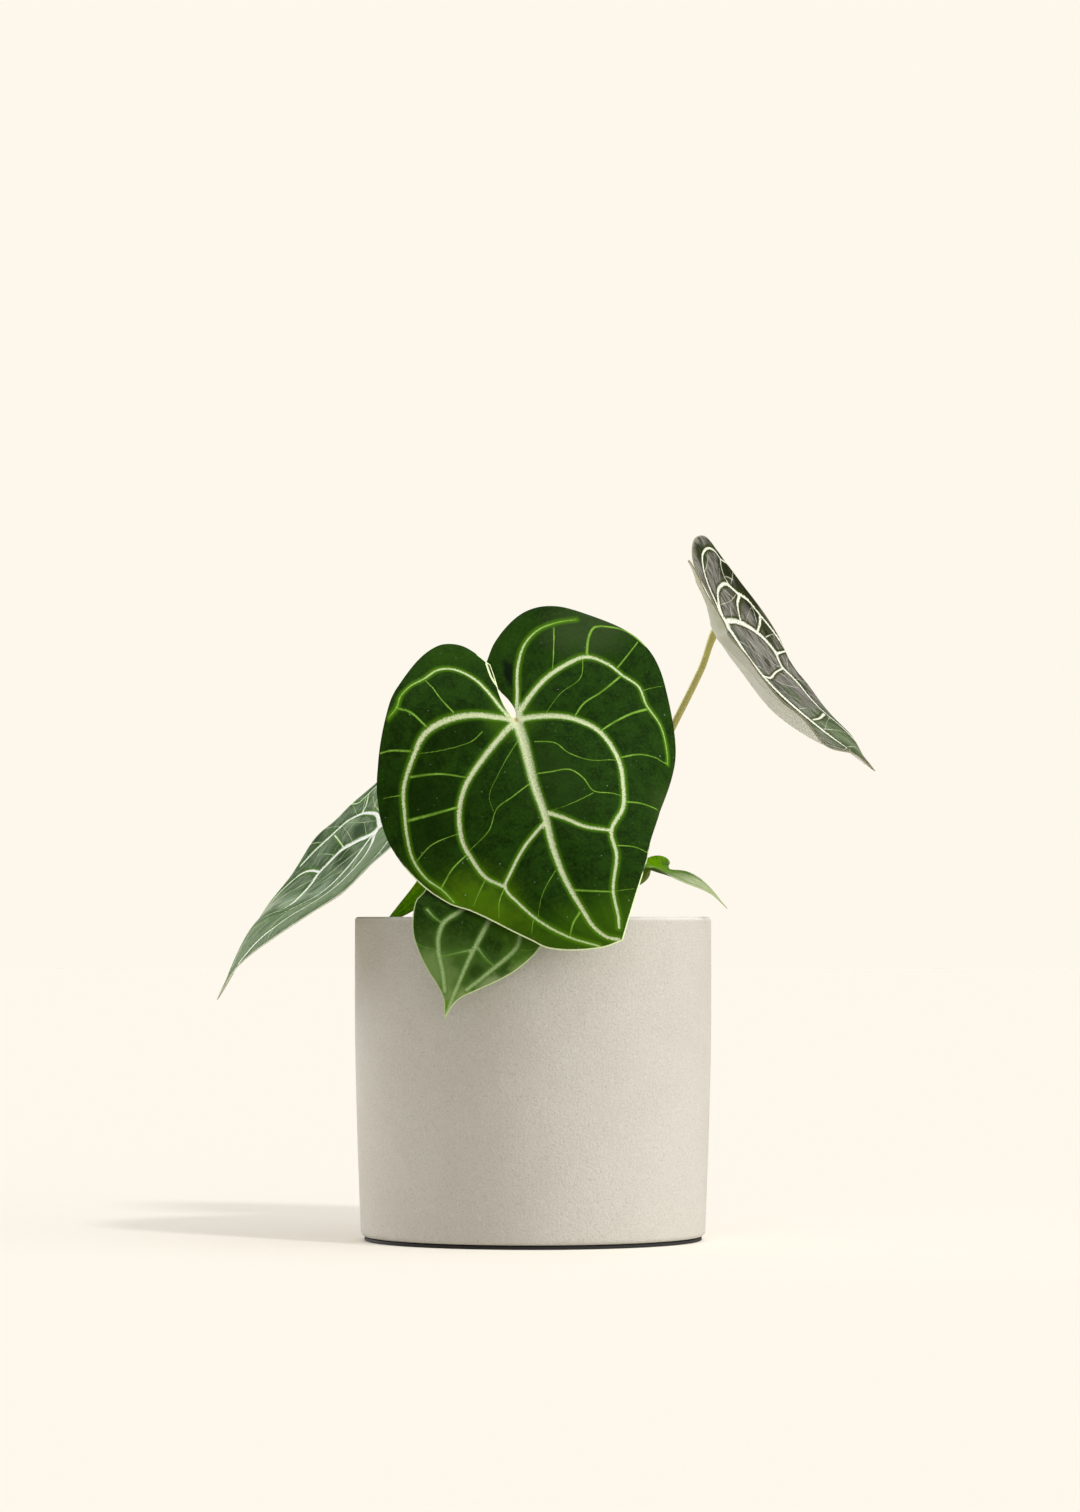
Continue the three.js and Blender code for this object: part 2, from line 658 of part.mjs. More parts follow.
let crown = solidOf(crownGeometry());
let soil = solidOf(soilGeometry()).subtract(solidOf(crownGeometry(GAP)));
LEAVES.forEach((leaf) => {
  plant.add(meshOf(`${leaf.name}_blade`, bladeGeometry(leaf), leaf.colour));
  plant.add(meshOf(`${leaf.name}_petiole`, geometryOf(petioleSolid(leaf)), COLOURS.petiole));
  const hole = solidOf(tube(petiolePath(leaf), PETIOLE.radius + GAP));
  crown = crown.subtract(hole);
  soil = soil.subtract(hole);
});
plant.add(meshOf("crown", geometryOf(crown), COLOURS.sheath));
plant.add(meshOf("soil", geometryOf(soil), COLOURS.mix));

export default plant;
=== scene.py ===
"""Looks of a potted anthurium: finely veined leaves, a speckled stoneware pot and its bark mix.

Lengths are millimetres until a mesh is made. A leaf is drawn flat, a across it and b along its
midrib, and its surface bends that drawing into place, as in the CAD."""

import math

import bpy
import numpy as np
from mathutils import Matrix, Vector
from mathutils.geometry import delaunay_2d_cdt


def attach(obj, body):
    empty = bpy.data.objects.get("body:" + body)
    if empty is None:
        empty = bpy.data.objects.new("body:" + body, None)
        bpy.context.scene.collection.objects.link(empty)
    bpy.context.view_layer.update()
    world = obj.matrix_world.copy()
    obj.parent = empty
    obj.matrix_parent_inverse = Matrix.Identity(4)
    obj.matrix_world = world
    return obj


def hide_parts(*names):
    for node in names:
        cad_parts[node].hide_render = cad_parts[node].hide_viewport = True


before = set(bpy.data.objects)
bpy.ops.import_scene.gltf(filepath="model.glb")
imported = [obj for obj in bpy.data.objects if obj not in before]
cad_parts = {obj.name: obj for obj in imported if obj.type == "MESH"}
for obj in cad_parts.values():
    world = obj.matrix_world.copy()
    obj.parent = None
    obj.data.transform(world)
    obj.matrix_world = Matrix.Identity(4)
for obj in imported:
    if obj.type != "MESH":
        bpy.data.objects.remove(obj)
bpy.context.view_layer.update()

# ---- dimensions, mm --------------------------------------------------------------------------
POT = {"height": 136, "top": 75, "base": 72.5, "wall": 7, "bottom": 1.8, "floor": 9}
# The pot's outer wall, and further down the stem's side: distance along it, (radius, height).
POT_WALL = [(0, (72.55, 6)), (40, (73.9, 44)), (80, (74.85, 84)), (105, (74.95, 110)), (126, (74.9, 132))]
POT_ROUND = {"foot": 2.2, "lip": 1.6, "corner": 6}
GAP = 0.1  # a step that keeps the turned lip and the pad inside the solids
PAD = {"radius": 70.5, "round": 0.45, "inset": 0.5, "thickness": 1.5}
SOIL = {"radius": 67.6, "top": 119.5, "low": 11.2}
STEM = {"radius": 8, "foot": 100, "foot_radius": 6, "top": 130.4}
STEM_SIDE = [
    (0, (7.6, 103)), (10, (8.3, 112)), (18, (8.6, 120)), (24, (7.6, 126)), (28, (5, 129)), (30, (1.5, 130.2)),
]
FULL = 110  # length of a leaf whose veins have their full width
RIM_STEP = 0.55  # between the points of a leaf's outline
BLOCK = 3000  # points compared with all others at a time, to spare memory
SNUG = 0.997  # a leaf's fine outline over its drawn one, about the tip
PUFF = 1.15  # how far a leaf's skin swells between its main veins
EDGE, BODY, LIP = 0.22, 0.16, 0.18  # half thickness at the rim, what the inner blade adds, rim's rounding
GROOVE, RIB = 0.42, 0.5  # a main vein's depth above and height below, over its half width
FINE_GROOVE, FINE_RIB = 0.35, 0.3  # the same of a thin vein


# ---- curves ----------------------------------------------------------------------------------
class Curve:
    """A cubic through knots [t, value], straight beyond its ends."""

    def __init__(self, knots):
        self.t = np.array([t for t, _ in knots], float)
        self.v = np.array([np.atleast_1d(v) for _, v in knots], float)
        rate = np.diff(self.v, axis=0) / np.diff(self.t)[:, None]
        self.m = np.vstack([rate[:1], (rate[:-1] + rate[1:]) / 2, rate[-1:]])

    def __call__(self, t):
        """The values and the slopes at each t."""
        t = np.atleast_1d(np.asarray(t, float))
        i = np.clip(np.searchsorted(self.t, t) - 1, 0, len(self.t) - 2)
        span = (self.t[i + 1] - self.t[i])[:, None]
        q = (t - self.t[i])[:, None] / span
        c = np.clip(q, 0, 1)
        p, r = self.v[i], self.v[i + 1]
        out, into = self.m[i] * span, self.m[i + 1] * span
        slope = (6 * c * c - 6 * c) * (p - r) + (3 * c * c - 4 * c + 1) * out + (3 * c * c - 2 * c) * into
        value = p + (r - p) * (3 * c * c - 2 * c**3) + (c**3 - 2 * c * c + c) * out + (c**3 - c * c) * into
        return value + (q - c) * slope, slope / span


def measured(points):
    """How far along their line each point lies, and the points as an array."""
    points = np.array(points, float)
    return np.concatenate([[0], np.cumsum(np.linalg.norm(np.diff(points, axis=0), axis=1))]), points


def smooth_path(points, step):
    """Points about step apart on a smooth curve through these points."""
    reach, points = measured(points)
    count = max(3, round(reach[-1] / step) + 1)
    return Curve(list(zip(reach, points)))(np.linspace(0, reach[-1], count))[0]


def smooth_step(x, low, high):
    t = np.clip((x - low) / (high - low), 0, 1)
    return t * t * (3 - 2 * t)


def bell(x, width):
    return np.exp(-(x / width) ** 2)


# ---- leaves ----------------------------------------------------------------------------------
HEART = {
    "sinus": [(0, 0), (1.6, -9), (1.8, -19), (1, -29)],
    "margin": [
        (1, -29), (4, -37), (11, -43), (20, -46), (29, -45), (39, -41), (49, -33), (58, -21),
        (64, -8), (68, 6), (70, 20), (68.5, 34), (62, 50), (54, 62), (45, 72), (36, 81),
        (26, 90), (17, 98), (9, 104.5), (4, 110), (1.6, 116), (0, 121),
    ],
    "veins": [
        [(0, 0), (7, -16), (14, -29), (25, -35), (38, -32), (47, -25), (53, -16), (61, -15)],
        [(0, 0), (14, -6), (30, -8), (43, -2), (52, 10), (58, 25), (60, 40), (57, 57)],
        [(0, 0), (14, 8), (27, 16), (36, 29), (38, 45), (32, 61), (26, 76), (14, 95), (7, 106)],
    ],
}


def heart_half(sign, scale, widths, lobe=1.0):
    """A half of the plain heart, mirrored with sign -1, its width and its lobe changed."""
    width = Curve(widths)
    low, high = widths[0][0], widths[-1][0]

    def bend(point):
        a, b = point
        long = b * lobe if b < 0 else b
        wide = width(min(max(b * scale, low), high))[0][0, 0]
        return (sign * a * scale * wide, long * scale)

    return {
        "sinus": [bend(p) for p in HEART["sinus"]],
        "margin": [bend(p) for p in HEART["margin"]],
        "veins": [[bend(p) for p in vein] for vein in HEART["veins"]],
    }


def half(fold, curl, **shape):
    """A half leaf: fold at the midrib in degrees and curl in degrees for each cm, both along b."""
    return {"fold": fold, "curl": curl, **shape}


# For each leaf, in mm:
#   axis           its midline in space, from the lobes to the tip
#   petiole_at     the axis point over the petiole's end, the second where none is given
#   facing         the way its upper face looks, along b
#   left, right    each half: fold and curl, and its outline from the petiole's end to the tip
#   length         from the petiole's end to the tip; without it no plain midrib is drawn
#   veins, twigs   main veins: width at the start, width at the end, path; thin ones: width, path
#   template_veins the plain heart's veins that each half takes over
#   look           the kind of its underside, and of its stalk's skin
#   spacing        between the points of its mesh
#   relief, wave   strength of swelling and main veins; the rim's wave: height, radians for each mm
#   petiole        the stalk's path, up to near the blade
LEAVES = {}
LEAVES["leaf_front"] = {
    "axis": [
        (-23, -33, 252), (-15, -41, 235), (-7, -51, 217), (4, -64, 194),
        (15, -76, 171), (25, -86, 149), (36, -92, 127),
    ],
    "petiole_at": 2,
    "facing": [
        (-40, (0.1, -0.93, 0.3)), (0, (0.1, -0.93, 0.36)),
        (60, (0.08, -0.97, 0.2)), (110, (0.05, -1, 0.15)),
    ],
    "left": half(
        [(-45, 20), (-14, 20), (0, 6), (18, 0), (110, 0)],
        [(-40, -2), (0, -2.5), (60, -2.5), (110, -2)],
        sinus=[(0, 0), (-1.5, -6), (-2, -13), (-1.3, -21), (-0.8, -28.5)],
        margin=[
            (-0.8, -28.5), (-9.5, -40), (-19, -42), (-45.5, -26), (-57.5, -6.5), (-66, 9), (-69.2, 30),
            (-57.5, 64.5), (-50.3, 72), (-33.5, 92), (-28.5, 98.2), (-8.5, 108), (0, 108.8),
        ],
    ),
    "right": half(
        [(-45, -4), (-14, -2), (0, 0), (18, 0), (110, 0)],
        [(-40, -1.5), (-10, -2.5), (30, -7), (70, -9), (110, -4)],
        sinus=[(0, 0), (1.5, -5), (0.7, -11), (-1, -15.5), (-2.8, -22), (-2.5, -29)],
        margin=[
            (-2.5, -29), (6, -38.2), (21, -47), (29.5, -48), (38, -45.7), (47, -40), (64.5, -25.5),
            (69, -17), (70.3, -5), (68.5, 24), (63.8, 34), (30.5, 71), (24, 81.5), (0, 108.8),
        ],
    ),
    "veins": [
        (4.2, 1.1, [(0, 0), (-1, 10), (-3, 21), (-5, 32), (-6.5, 46), (-9, 60), (-10, 74), (-9, 90.5),
            (-8, 99), (-5, 105), (-1, 108)]),
        (1.6, 0.4, [(-0.5, -1), (-3, -4.5), (-6.5, -14), (-11, -22.5), (-18.5, -29), (-25, -30),
            (-32.5, -27), (-40, -24.5), (-46, -19.5), (-49, -14.5), (-53, -11.5)]),
        (2.5, 0.6, [(0, 0), (-7, -3), (-16, -6), (-28, -6.5), (-39, -4), (-47, 2.5), (-54.5, 11),
            (-58, 19.5), (-61, 28.5), (-63, 38), (-61.5, 48.5), (-57.5, 57), (-55, 65.5)]),
        (2.4, 1.3, [(-1, 1), (-9.5, 6), (-18.5, 11.5), (-26, 16.5), (-31.5, 21), (-37.5, 29.5),
            (-41.5, 41.5), (-41, 51.5), (-39, 61.5), (-33.5, 69)]),
        (1.4, 0.8, [(-7.5, 49), (-20, 56), (-29, 64), (-33.5, 69), (-31, 78), (-26.5, 87.5),
            (-18.5, 98.5), (-9.5, 107)]),
        (1.7, 1.2, [(-4.5, 46), (0, 50.5), (6.5, 57.5), (16, 62.5)]),
        (1.6, 0.4, [(0.5, -1), (4, -9), (9.5, -22.5), (16.5, -32), (25, -37), (34.5, -38), (43, -37)]),
        (2.2, 0.5, [(0.5, -0.5), (8.5, -8), (19.5, -15.5), (31, -19.5), (40, -20.5), (48, -15.5),
            (52, -9.5), (57, -3), (58, 6), (62.5, 15.5), (61.5, 28), (59.5, 33)]),
        (2.6, 1.0, [(0, 0), (10, 2), (18, 4.5), (24, 8), (31.5, 16), (34, 30.5), (30.5, 43), (25.5, 53.5),
            (16, 62.5), (13.5, 74), (5.5, 89), (2.5, 100), (1, 103.5)]),
    ],
    "twigs": [
        (0.8, [(-49, -14.5), (-43, -11), (-37.5, -6)]),
        (0.6, [(-25, -8.5), (-29.5, -14.5), (-32.5, -26)]),
        (0.6, [(-46.5, -0.5), (-54.5, -2.5), (-59, -3)]), (0.4, [(-56, 13), (-64, 11)]),
        (0.8, [(-50, 8), (-38.5, 12), (-29.5, 17)]), (1.1, [(-58, 23.5), (-48.5, 26), (-37.5, 27.5)]),
        (0.5, [(-62, 40), (-54, 37.5), (-40.5, 38)]), (0.75, [(-57.5, 56), (-50, 51), (-41.5, 47.5)]),
        (0.6, [(-39, 61.5), (-44, 66.5), (-48.5, 71)]), (0.4, [(-28.5, 85.5), (-32.5, 91)]),
        (0.5, [(-33.5, 69), (-37.5, 73), (-41, 79.5)]), (0.4, [(-12, 71), (-21, 78.5), (-27, 86)]),
        (0.8, [(-10.5, 91), (-15, 94), (-18.5, 98)]),
        (0.5, [(-5.5, 30), (-15.5, 33.5), (-23, 35.5), (-30, 43), (-41.5, 47)]),
        (0.4, [(-2, 9), (-11, 16.5), (-17, 22), (-24, 29.5), (-25, 36)]),
        (0.4, [(-15.5, 1.5), (-21, 4), (-34, 3.5), (-44.5, 1)]),
        (0.55, [(32, -36), (26.5, -24.5), (23.5, -18.5)]),
        (0.9, [(40, -20.5), (44.5, -28), (49, -31.5), (55, -30.5), (61.5, -27.5), (67.5, -20)]),
        (0.6, [(51, -13.5), (58, -18), (64.5, -22)]), (0.4, [(58.5, -0.5), (69, -2)]),
        (0.8, [(51, -9.5), (38.5, -2), (29, 2), (23.5, 6.5)]),
        (0.9, [(57.5, 8), (47, 10.5), (37.5, 13.5), (32, 15.5)]),
        (0.4, [(38, -20), (33, -11.5), (22, -6), (12, 2)]),
        (0.5, [(3, 13), (10.5, 17), (13.5, 23), (21, 29), (33, 30.5)]),
        (0.6, [(-3, 27), (3, 29), (11, 31), (14.5, 36.5), (16, 43.5), (24, 46.5), (28.5, 48.5)]),
        (0.4, [(15.5, 44.5), (7, 46), (-5.5, 45.5)]), (0.75, [(35, 29.5), (46.5, 29.5), (59.5, 33)]),
        (0.75, [(28, 51), (34.5, 53), (42, 56)]), (0.55, [(15, 69.5), (22.5, 73), (26.5, 77)]),
        (0.8, [(-9, 81.5), (-1, 86), (5.5, 89)]), (0.4, [(5.5, 89), (14, 91.5)]),
    ],
    "look": "deep",
    "spacing": 0.62,
    "relief": 1,
    "wave": (0.5, 0.16),
    "petiole": [(0.5, -1.5, 112), (-1, -6, 135), (-4, -18, 170), (-6, -33, 201), (-7, -45, 214)],
}
LEAVES["leaf_left"] = {
    "axis": [(-52, 11, 189), (-65, 6, 173), (-86.5, 3, 148), (-115.5, -2.5, 130), (-132.5, -3.5, 101)],
    "facing": [(0, (-0.7, -0.29, 0.65)), (100, (-0.72, -0.16, 0.67))],
    "left": half(
        [(-30, 7), (36, -6.5), (102, 10)],
        [(-30, -2.5), (36, 4), (102, -15)],
        **heart_half(-1, 0.837, [(-34, 1.02), (0, 0.92), (34, 0.98), (71, 1.19)]),
    ),
    "right": half(
        [(-30, 12), (36, 1), (102, 14)],
        [(-30, -5), (36, 2), (102, -13)],
        **heart_half(1, 0.837, [(-34, 1.01), (0, 0.84), (34, 1.03), (71, 1.17)]),
    ),
    "length": 101.3,
    "veins": [
        (2.4, 1.0, [(-0.5, -0.5), (-6.5, -3.5), (-15, -7.5), (-23.5, -8), (-30.5, -7), (-37, -2.5),
            (-41, 3.5), (-46, 16.5), (-48.5, 23), (-51.5, 31)]),
        (2.8, 1.3, [(0, 0), (-4, 4), (-13.5, 7.5), (-21, 11.5), (-26, 15), (-30, 23), (-31.5, 29),
            (-29, 34.5), (-25, 41), (-17.5, 48.5), (-13, 62), (-11, 74), (-5, 86)]),
        (1.2, 0.6, [(-31.5, 28.5), (-41, 30.5), (-46.5, 34), (-49, 43), (-46, 52), (-36, 63)]),
        (1.1, 0.6, [(-30.5, -8), (-32.5, -12.5), (-38.5, -18)]),
        (0.9, 0.6, [(-41.5, 11), (-33.5, 12.5), (-25.5, 14)]),
        (2.4, 1.2, [(0, 0), (4, 4), (10, 8), (14, 14.5), (12.5, 24), (10.5, 36), (15.5, 46), (22, 54),
            (26, 62), (20.5, 72), (11, 84)]),
    ],
    "template_veins": {"left": [0], "right": [0, 1]},
    "look": "silver",
    "spacing": 0.58,
    "relief": 0.8,
    "wave": (0.5, 0.2),
    "petiole": [(-5.5, 1.8, 112), (-8, 4, 123), (-16, 11, 141), (-31, 16, 159), (-50, 13, 167)],
}
LEAVES["leaf_tall"] = {
    "axis": [(71, 14, 277.5), (81.5, 18.5, 260.5), (99.5, 19, 236), (121.5, 20, 216), (145.5, 21, 198)],
    "facing": [(0, (0.65, -0.34, 0.67)), (90, (0.66, -0.31, 0.68))],
    "left": half(
        [(-26, 7.5), (0, -15.5), (20, -13.5), (40, -24), (60, -14), (80, 26)],
        [(-26, 4.5), (0, 13), (20, 14), (40, 19), (60, 14.5), (80, -12)],
        **heart_half(-1, 0.745, [(-30, 0.95), (0, 0.92), (30, 0.81), (63, 1.24)]),
    ),
    "right": half(
        [(-26, 16), (32, -9.5), (90, 28)],
        [(-26, -4.5), (32, 5.5), (90, -19.5)],
        **heart_half(1, 0.745, [(-30, 0.92), (0, 0.9), (30, 0.85), (63, 1.38)], 1.05),
    ),
    "length": 90.2,
    "veins": [
        (1.9, 1.0, [(0, 0), (5.5, -7), (12, -11), (19, -11), (26.5, -9), (33.5, -3), (38, 0), (40, 5),
            (42, 13), (42.5, 23.5), (43, 33), (43, 40)]),
        (1.6, 0.9, [(0.5, -1), (4, -9.5), (4.5, -14.5), (6, -20.5), (9, -25), (13, -28), (18.5, -28.5),
            (24.5, -27), (30.5, -23.5), (34, -18.5), (41, -13.5)]),
        (1.0, 0.7, [(34, -18.5), (29.5, -15.5), (28, -11.5), (29, -8)]),
        (2.5, 1.2, [(0.5, -0.5), (11, 2), (19.5, 5), (25, 8), (31.5, 14), (34, 22), (33, 26), (32, 31),
            (34, 38.5), (34, 43), (31, 49), (25, 58.5), (21, 66), (12, 76)]),
        (1.3, 0.9, [(33, -2.5), (25.5, -1), (20, 2.5), (18, 4.5)]),
        (1.3, 0.9, [(39, 7), (34.5, 9), (29, 10.5)]),
        (1.4, 0.9, [(35, 23), (41, 24.5), (43.5, 25.5)]),
        (1.4, 0.9, [(2, 28.5), (9.5, 30.5), (22.5, 30.5), (31, 31.5)]),
        (1.4, 0.9, [(21.5, 59), (10, 58), (2.5, 56)]),
    ],
    "template_veins": {"left": [0, 1, 2]},
    "look": "silver",
    "spacing": 0.58,
    "relief": 0.8,
    "wave": (0.3, 0.2),
    "petiole": [
        (5, 2, 112), (9, 3.5, 122), (22, 6, 145), (41.5, 9, 182), (60.2, 13, 218.5), (71.3, 16.5, 241),
    ],
}
LEAVES["leaf_low"] = {
    "axis": [
        (1, -38, 173.5), (-5.5, -53, 159), (-11.5, -70, 147), (-18.5, -82.5, 133),
        (-25.5, -86.5, 119.5), (-31.5, -87.5, 105.5), (-36.5, -86, 93),
    ],
    "facing": [
        (-30, (0.1, -0.6, 0.8)), (0, (0.1, -0.75, 0.65)), (40, (0, -1, 0.1)), (90, (0, -1, -0.05)),
    ],
    "left": half(
        [(0, 4), (40, -4), (85, 0)],
        [(0, -4), (40, -6), (85, 0)],
        **heart_half(
            -1, 0.704, [(-20, 0.65), (10, 0.65), (35, 0.7), (50, 0.93), (65, 1.12), (78, 1.1)], 0.6),
    ),
    "right": half(
        [(0, 6), (40, 3), (85, 0)],
        [(0, -2), (40, -3), (85, 0)],
        **heart_half(
            1, 0.704, [(-20, 0.52), (10, 0.55), (35, 0.55), (50, 0.64), (65, 0.69), (78, 0.45)], 0.6),
    ),
    "length": 85.2,
    "veins": [
        (2.4, 1.2, [(0, 0), (-7, 12), (-10.5, 26), (-11.5, 38.5), (-14.5, 45.5), (-16, 49), (-15.5, 54.5),
            (-12.5, 60.5), (-7.5, 67.5), (-4, 74)]),
        (1.0, 0.5, [(-25, 47), (-21, 49), (-15.5, 50)]),
        (0.9, 0.5, [(0, 54), (-7.5, 59.5), (-11, 62)]),
        (2.2, 1.2, [(0, 0), (7, 12), (11, 26), (13.5, 38.5), (15, 45), (14, 49), (11, 56.5), (8, 63),
            (4, 70)]),
        (0.9, 0.5, [(0, 52), (7, 55.5), (11, 56.5)]),
    ],
    "twigs": [(0.6, [(-25, 60), (-20, 61), (-14, 60)]), (0.5, [(14, 46), (20, 44), (25, 38)])],
    "template_veins": {"left": [0], "right": [0]},
    "look": "deep",
    "spacing": 0.58,
    "relief": 0.7,
    "wave": (0.3, 0.25),
    "petiole": [(-2, -5.5, 112), (-3.5, -8, 123), (-5, -17, 139), (-5, -32, 151), (-5.5, -43, 155)],
}
LEAVES["leaf_new"] = {
    "axis": [(44, -6, 160), (48, -10, 157), (59.5, -15, 154), (71, -20, 148.5), (81, -22, 139.5)],
    "facing": [(0, (0.35, 0.1, 0.92)), (45, (0.5, 0.18, 0.86))],
    "left": half(
        [(-10, 10), (0, -5), (12, -24), (40, -3.5)],
        [(-10, 6.5), (0, -3.5), (12, 13), (40, -19)],
        **heart_half(-1, 0.332, [(-14, 0.85), (30, 0.86)], 0.6),
    ),
    "right": half(
        [(-10, 64), (0, 22), (12, 15), (40, 19.5)],
        [(-10, -3), (0, -4.5), (12, 2), (40, 2)],
        **heart_half(1, 0.332, [(-14, 0.75), (30, 0.71)], 0.35),
    ),
    "length": 40.2,
    "veins": [],
    "template_veins": {"left": [2], "right": [2]},
    "look": "fresh",
    "spacing": 0.5,
    "relief": 0.4,
    "wave": (0.2, 0.4),
    "petiole": [(5, -2.8, 112), (8.5, -3.8, 123), (19, -6, 136), (41, -10, 149)],
}
LEAVES["leaf_back"] = {
    "axis": [
        (-26.5, -12, 167.5), (-32.5, -13, 160.5), (-42, -14, 149.5), (-53.5, -14.5, 139.5),
        (-64.5, -15, 131),
    ],
    "facing": [(0, (-0.66, -0.22, 0.72)), (50, (-0.62, -0.2, 0.76))],
    **{
        key: half([(0, 3), (40, 0)], [(0, 2), (40, 0)],
                  **heart_half(sign, 0.361, [(-14, 0.9), (18, 1), (40, 1.3)], 0.8))
        for key, sign in (("left", -1), ("right", 1))
    },
    "length": 43.7,
    "veins": [],
    "template_veins": {"left": [0, 1, 2], "right": [0, 1, 2]},
    "look": "fresh",
    "spacing": 0.5,
    "relief": 0.45,
    "wave": (0.2, 0.35),
    "petiole": [(-5.5, -2.2, 112), (-8.5, -4, 125), (-17, -8.5, 143), (-26.5, -12, 153)],
}


class Surface:
    """Where a flat point of a leaf lies in the plant. The point's side is -1 left, 1 right."""

    def __init__(self, leaf):
        reach, axis = measured(leaf["axis"])
        self.axis = Curve(list(zip(reach - reach[leaf.get("petiole_at", 1)], axis)))
        self.facing = Curve(leaf["facing"])
        self.halves = [(Curve(leaf[k]["fold"]), Curve(leaf[k]["curl"])) for k in ("left", "right")]

    def place(self, side, a, b, lift):
        at, along = self.axis(b)
        along /= np.linalg.norm(along, axis=1)[:, None]
        across = np.cross(self.facing(b)[0], along)
        across /= np.linalg.norm(across, axis=1)[:, None]
        up = np.cross(along, across)
        angles = [[np.radians(curve(b)[0][:, 0]) for curve in pair] for pair in self.halves]
        fold, curl = (np.where(side > 0, right, left) for left, right in zip(*angles))
        turn = curl / 10 + 1.37e-5  # for each mm, and never zero, because it divides
        last = fold + turn * a * side
        out = (np.sin(last) - np.sin(fold)) / turn - np.sin(last) * lift
        rise = (np.cos(fold) - np.cos(last)) / turn + np.cos(last) * lift
        return at + across * (side * out)[:, None] + up * rise[:, None]


def inside(points, polygon):
    """Which points lie inside a closed polygon."""
    hit = np.zeros(len(points), bool)
    for p, q in zip(polygon, np.roll(polygon, -1, axis=0)):
        if p[1] == q[1]:
            continue
        crosses = (points[:, 1] < p[1]) != (points[:, 1] < q[1])
        hit ^= crosses & (points[:, 0] < p[0] + (points[:, 1] - p[1]) / (q[1] - p[1]) * (q[0] - p[0]))
    return hit


def nearest_offset(points, starts, ends, start_width, end_width):
    """For each point, its offset from the nearest of these segments over the half width there,
    that half width, and the distance to the segment's edge."""
    offset = np.zeros((len(points), 2))
    half_width = np.zeros(len(points))
    run = ends - starts
    size = np.maximum((run**2).sum(1), 1e-9)
    for low in range(0, len(points), BLOCK):
        part = points[low:low + BLOCK]
        gap = part[:, None, :] - starts[None]
        t = np.clip((gap * run).sum(2) / size, 0, 1)
        gap = gap - t[:, :, None] * run
        width = (start_width + (end_width - start_width) * t) / 2
        share = np.linalg.norm(gap, axis=2) / width
        best = share.argmin(1)
        row = np.arange(len(part))
        offset[low:low + BLOCK] = gap[row, best] / width[row, best, None]
        half_width[low:low + BLOCK] = width[row, best]
    reach = np.linalg.norm(offset, axis=1)
    return offset, half_width, (reach - 1) * half_width


def nearest_square(points, others):
    """For each point, the squared distance to the nearest of the others."""
    blocks = np.array_split(points, 1 + len(points) // BLOCK)
    return np.concatenate([((block[:, None] - others[None]) ** 2).sum(2).min(1) for block in blocks])


def segments(paths):
    """The paths (width at start, width at end, points) as arrays of short segments."""
    parts = []
    for first, final, points in paths:
        curve = smooth_path(points, 1.2)
        width = first + (final - first) * np.linspace(0, 1, len(curve)) ** 0.8
        parts.append((curve[:-1], curve[1:], width[:-1], width[1:]))
    return [np.concatenate(column) for column in zip(*parts)]


def side_twigs(mains, outline, spacing, rng):
    """Thin veins that leave the main ones on both sides and run until they meet another."""
    walls = [outline] + [smooth_path(points, 1) for _, _, points in mains]
    twigs = []
    for _, _, points in mains:
        path = smooth_path(points, 1)
        for at in range(round(spacing * 0.7), len(path) - 4, spacing):
            for way in (-1, 1):
                course = path[at + 1] - path[at - 1]
                angle = way * math.radians(58 + rng.uniform(-14, 14))
                step = np.array([
                    course[0] * math.cos(angle) - course[1] * math.sin(angle),
                    course[0] * math.sin(angle) + course[1] * math.cos(angle),
                ])
                step /= np.linalg.norm(step)
                bend = -way * rng.uniform(0.0, 0.035)
                twig = [path[at], path[at] + 2.5 * step]
                barrier = np.concatenate(walls)
                for _ in range(45):
                    if np.linalg.norm(barrier - twig[-1], axis=1).min() < 0.9:
                        break
                    step = np.array([step[0] - bend * step[1], step[1] + bend * step[0]])
                    twig.append(twig[-1] + step)
                if 6 < len(twig) < 46:
                    walls.append(np.array(twig[5:]))
                    twigs.append((rng.uniform(0.35, 0.65), twig[:-2:4] + [twig[-1]]))
    return twigs


def half_outline(leaf, key, midline):
    """One half's outline, by its sinus and margin to the tip and back by the midline, and the tip's place."""
    shape = leaf[key]
    tip = midline[-1]
    sinus, margin = (tip + SNUG * (smooth_path(shape[part], RIM_STEP) - tip) for part in ("sinus", "margin"))
    margin[-1] = tip
    sinus[0] = midline[0]
    return np.concatenate([sinus, margin[1:], midline[-2:0:-1]]), len(sinus) + len(margin) - 2


def fill(outline, spacing):
    """Points and triangles that fill an outline; the outline's points come first."""
    low, high = outline.min(0), outline.max(0)
    rows = np.arange(low[1] + spacing / 2, high[1], spacing * 0.866)
    columns = np.arange(low[0], high[0], spacing)
    grid = np.array([(x + (k % 2) * spacing / 2, y) for k, y in enumerate(rows) for x in columns])
    grid = grid[inside(grid, outline)]
    clear = nearest_square(grid, outline) > (0.6 * spacing) ** 2
    points = np.concatenate([outline, grid[clear]])
    edges = [(i, (i + 1) % len(outline)) for i in range(len(outline))]
    result = delaunay_2d_cdt([Vector(p) for p in points], edges, [], 1, 1e-6)
    if len(result[0]) != len(points):
        raise RuntimeError("an outline crosses itself")
    return points, np.array(result[2])


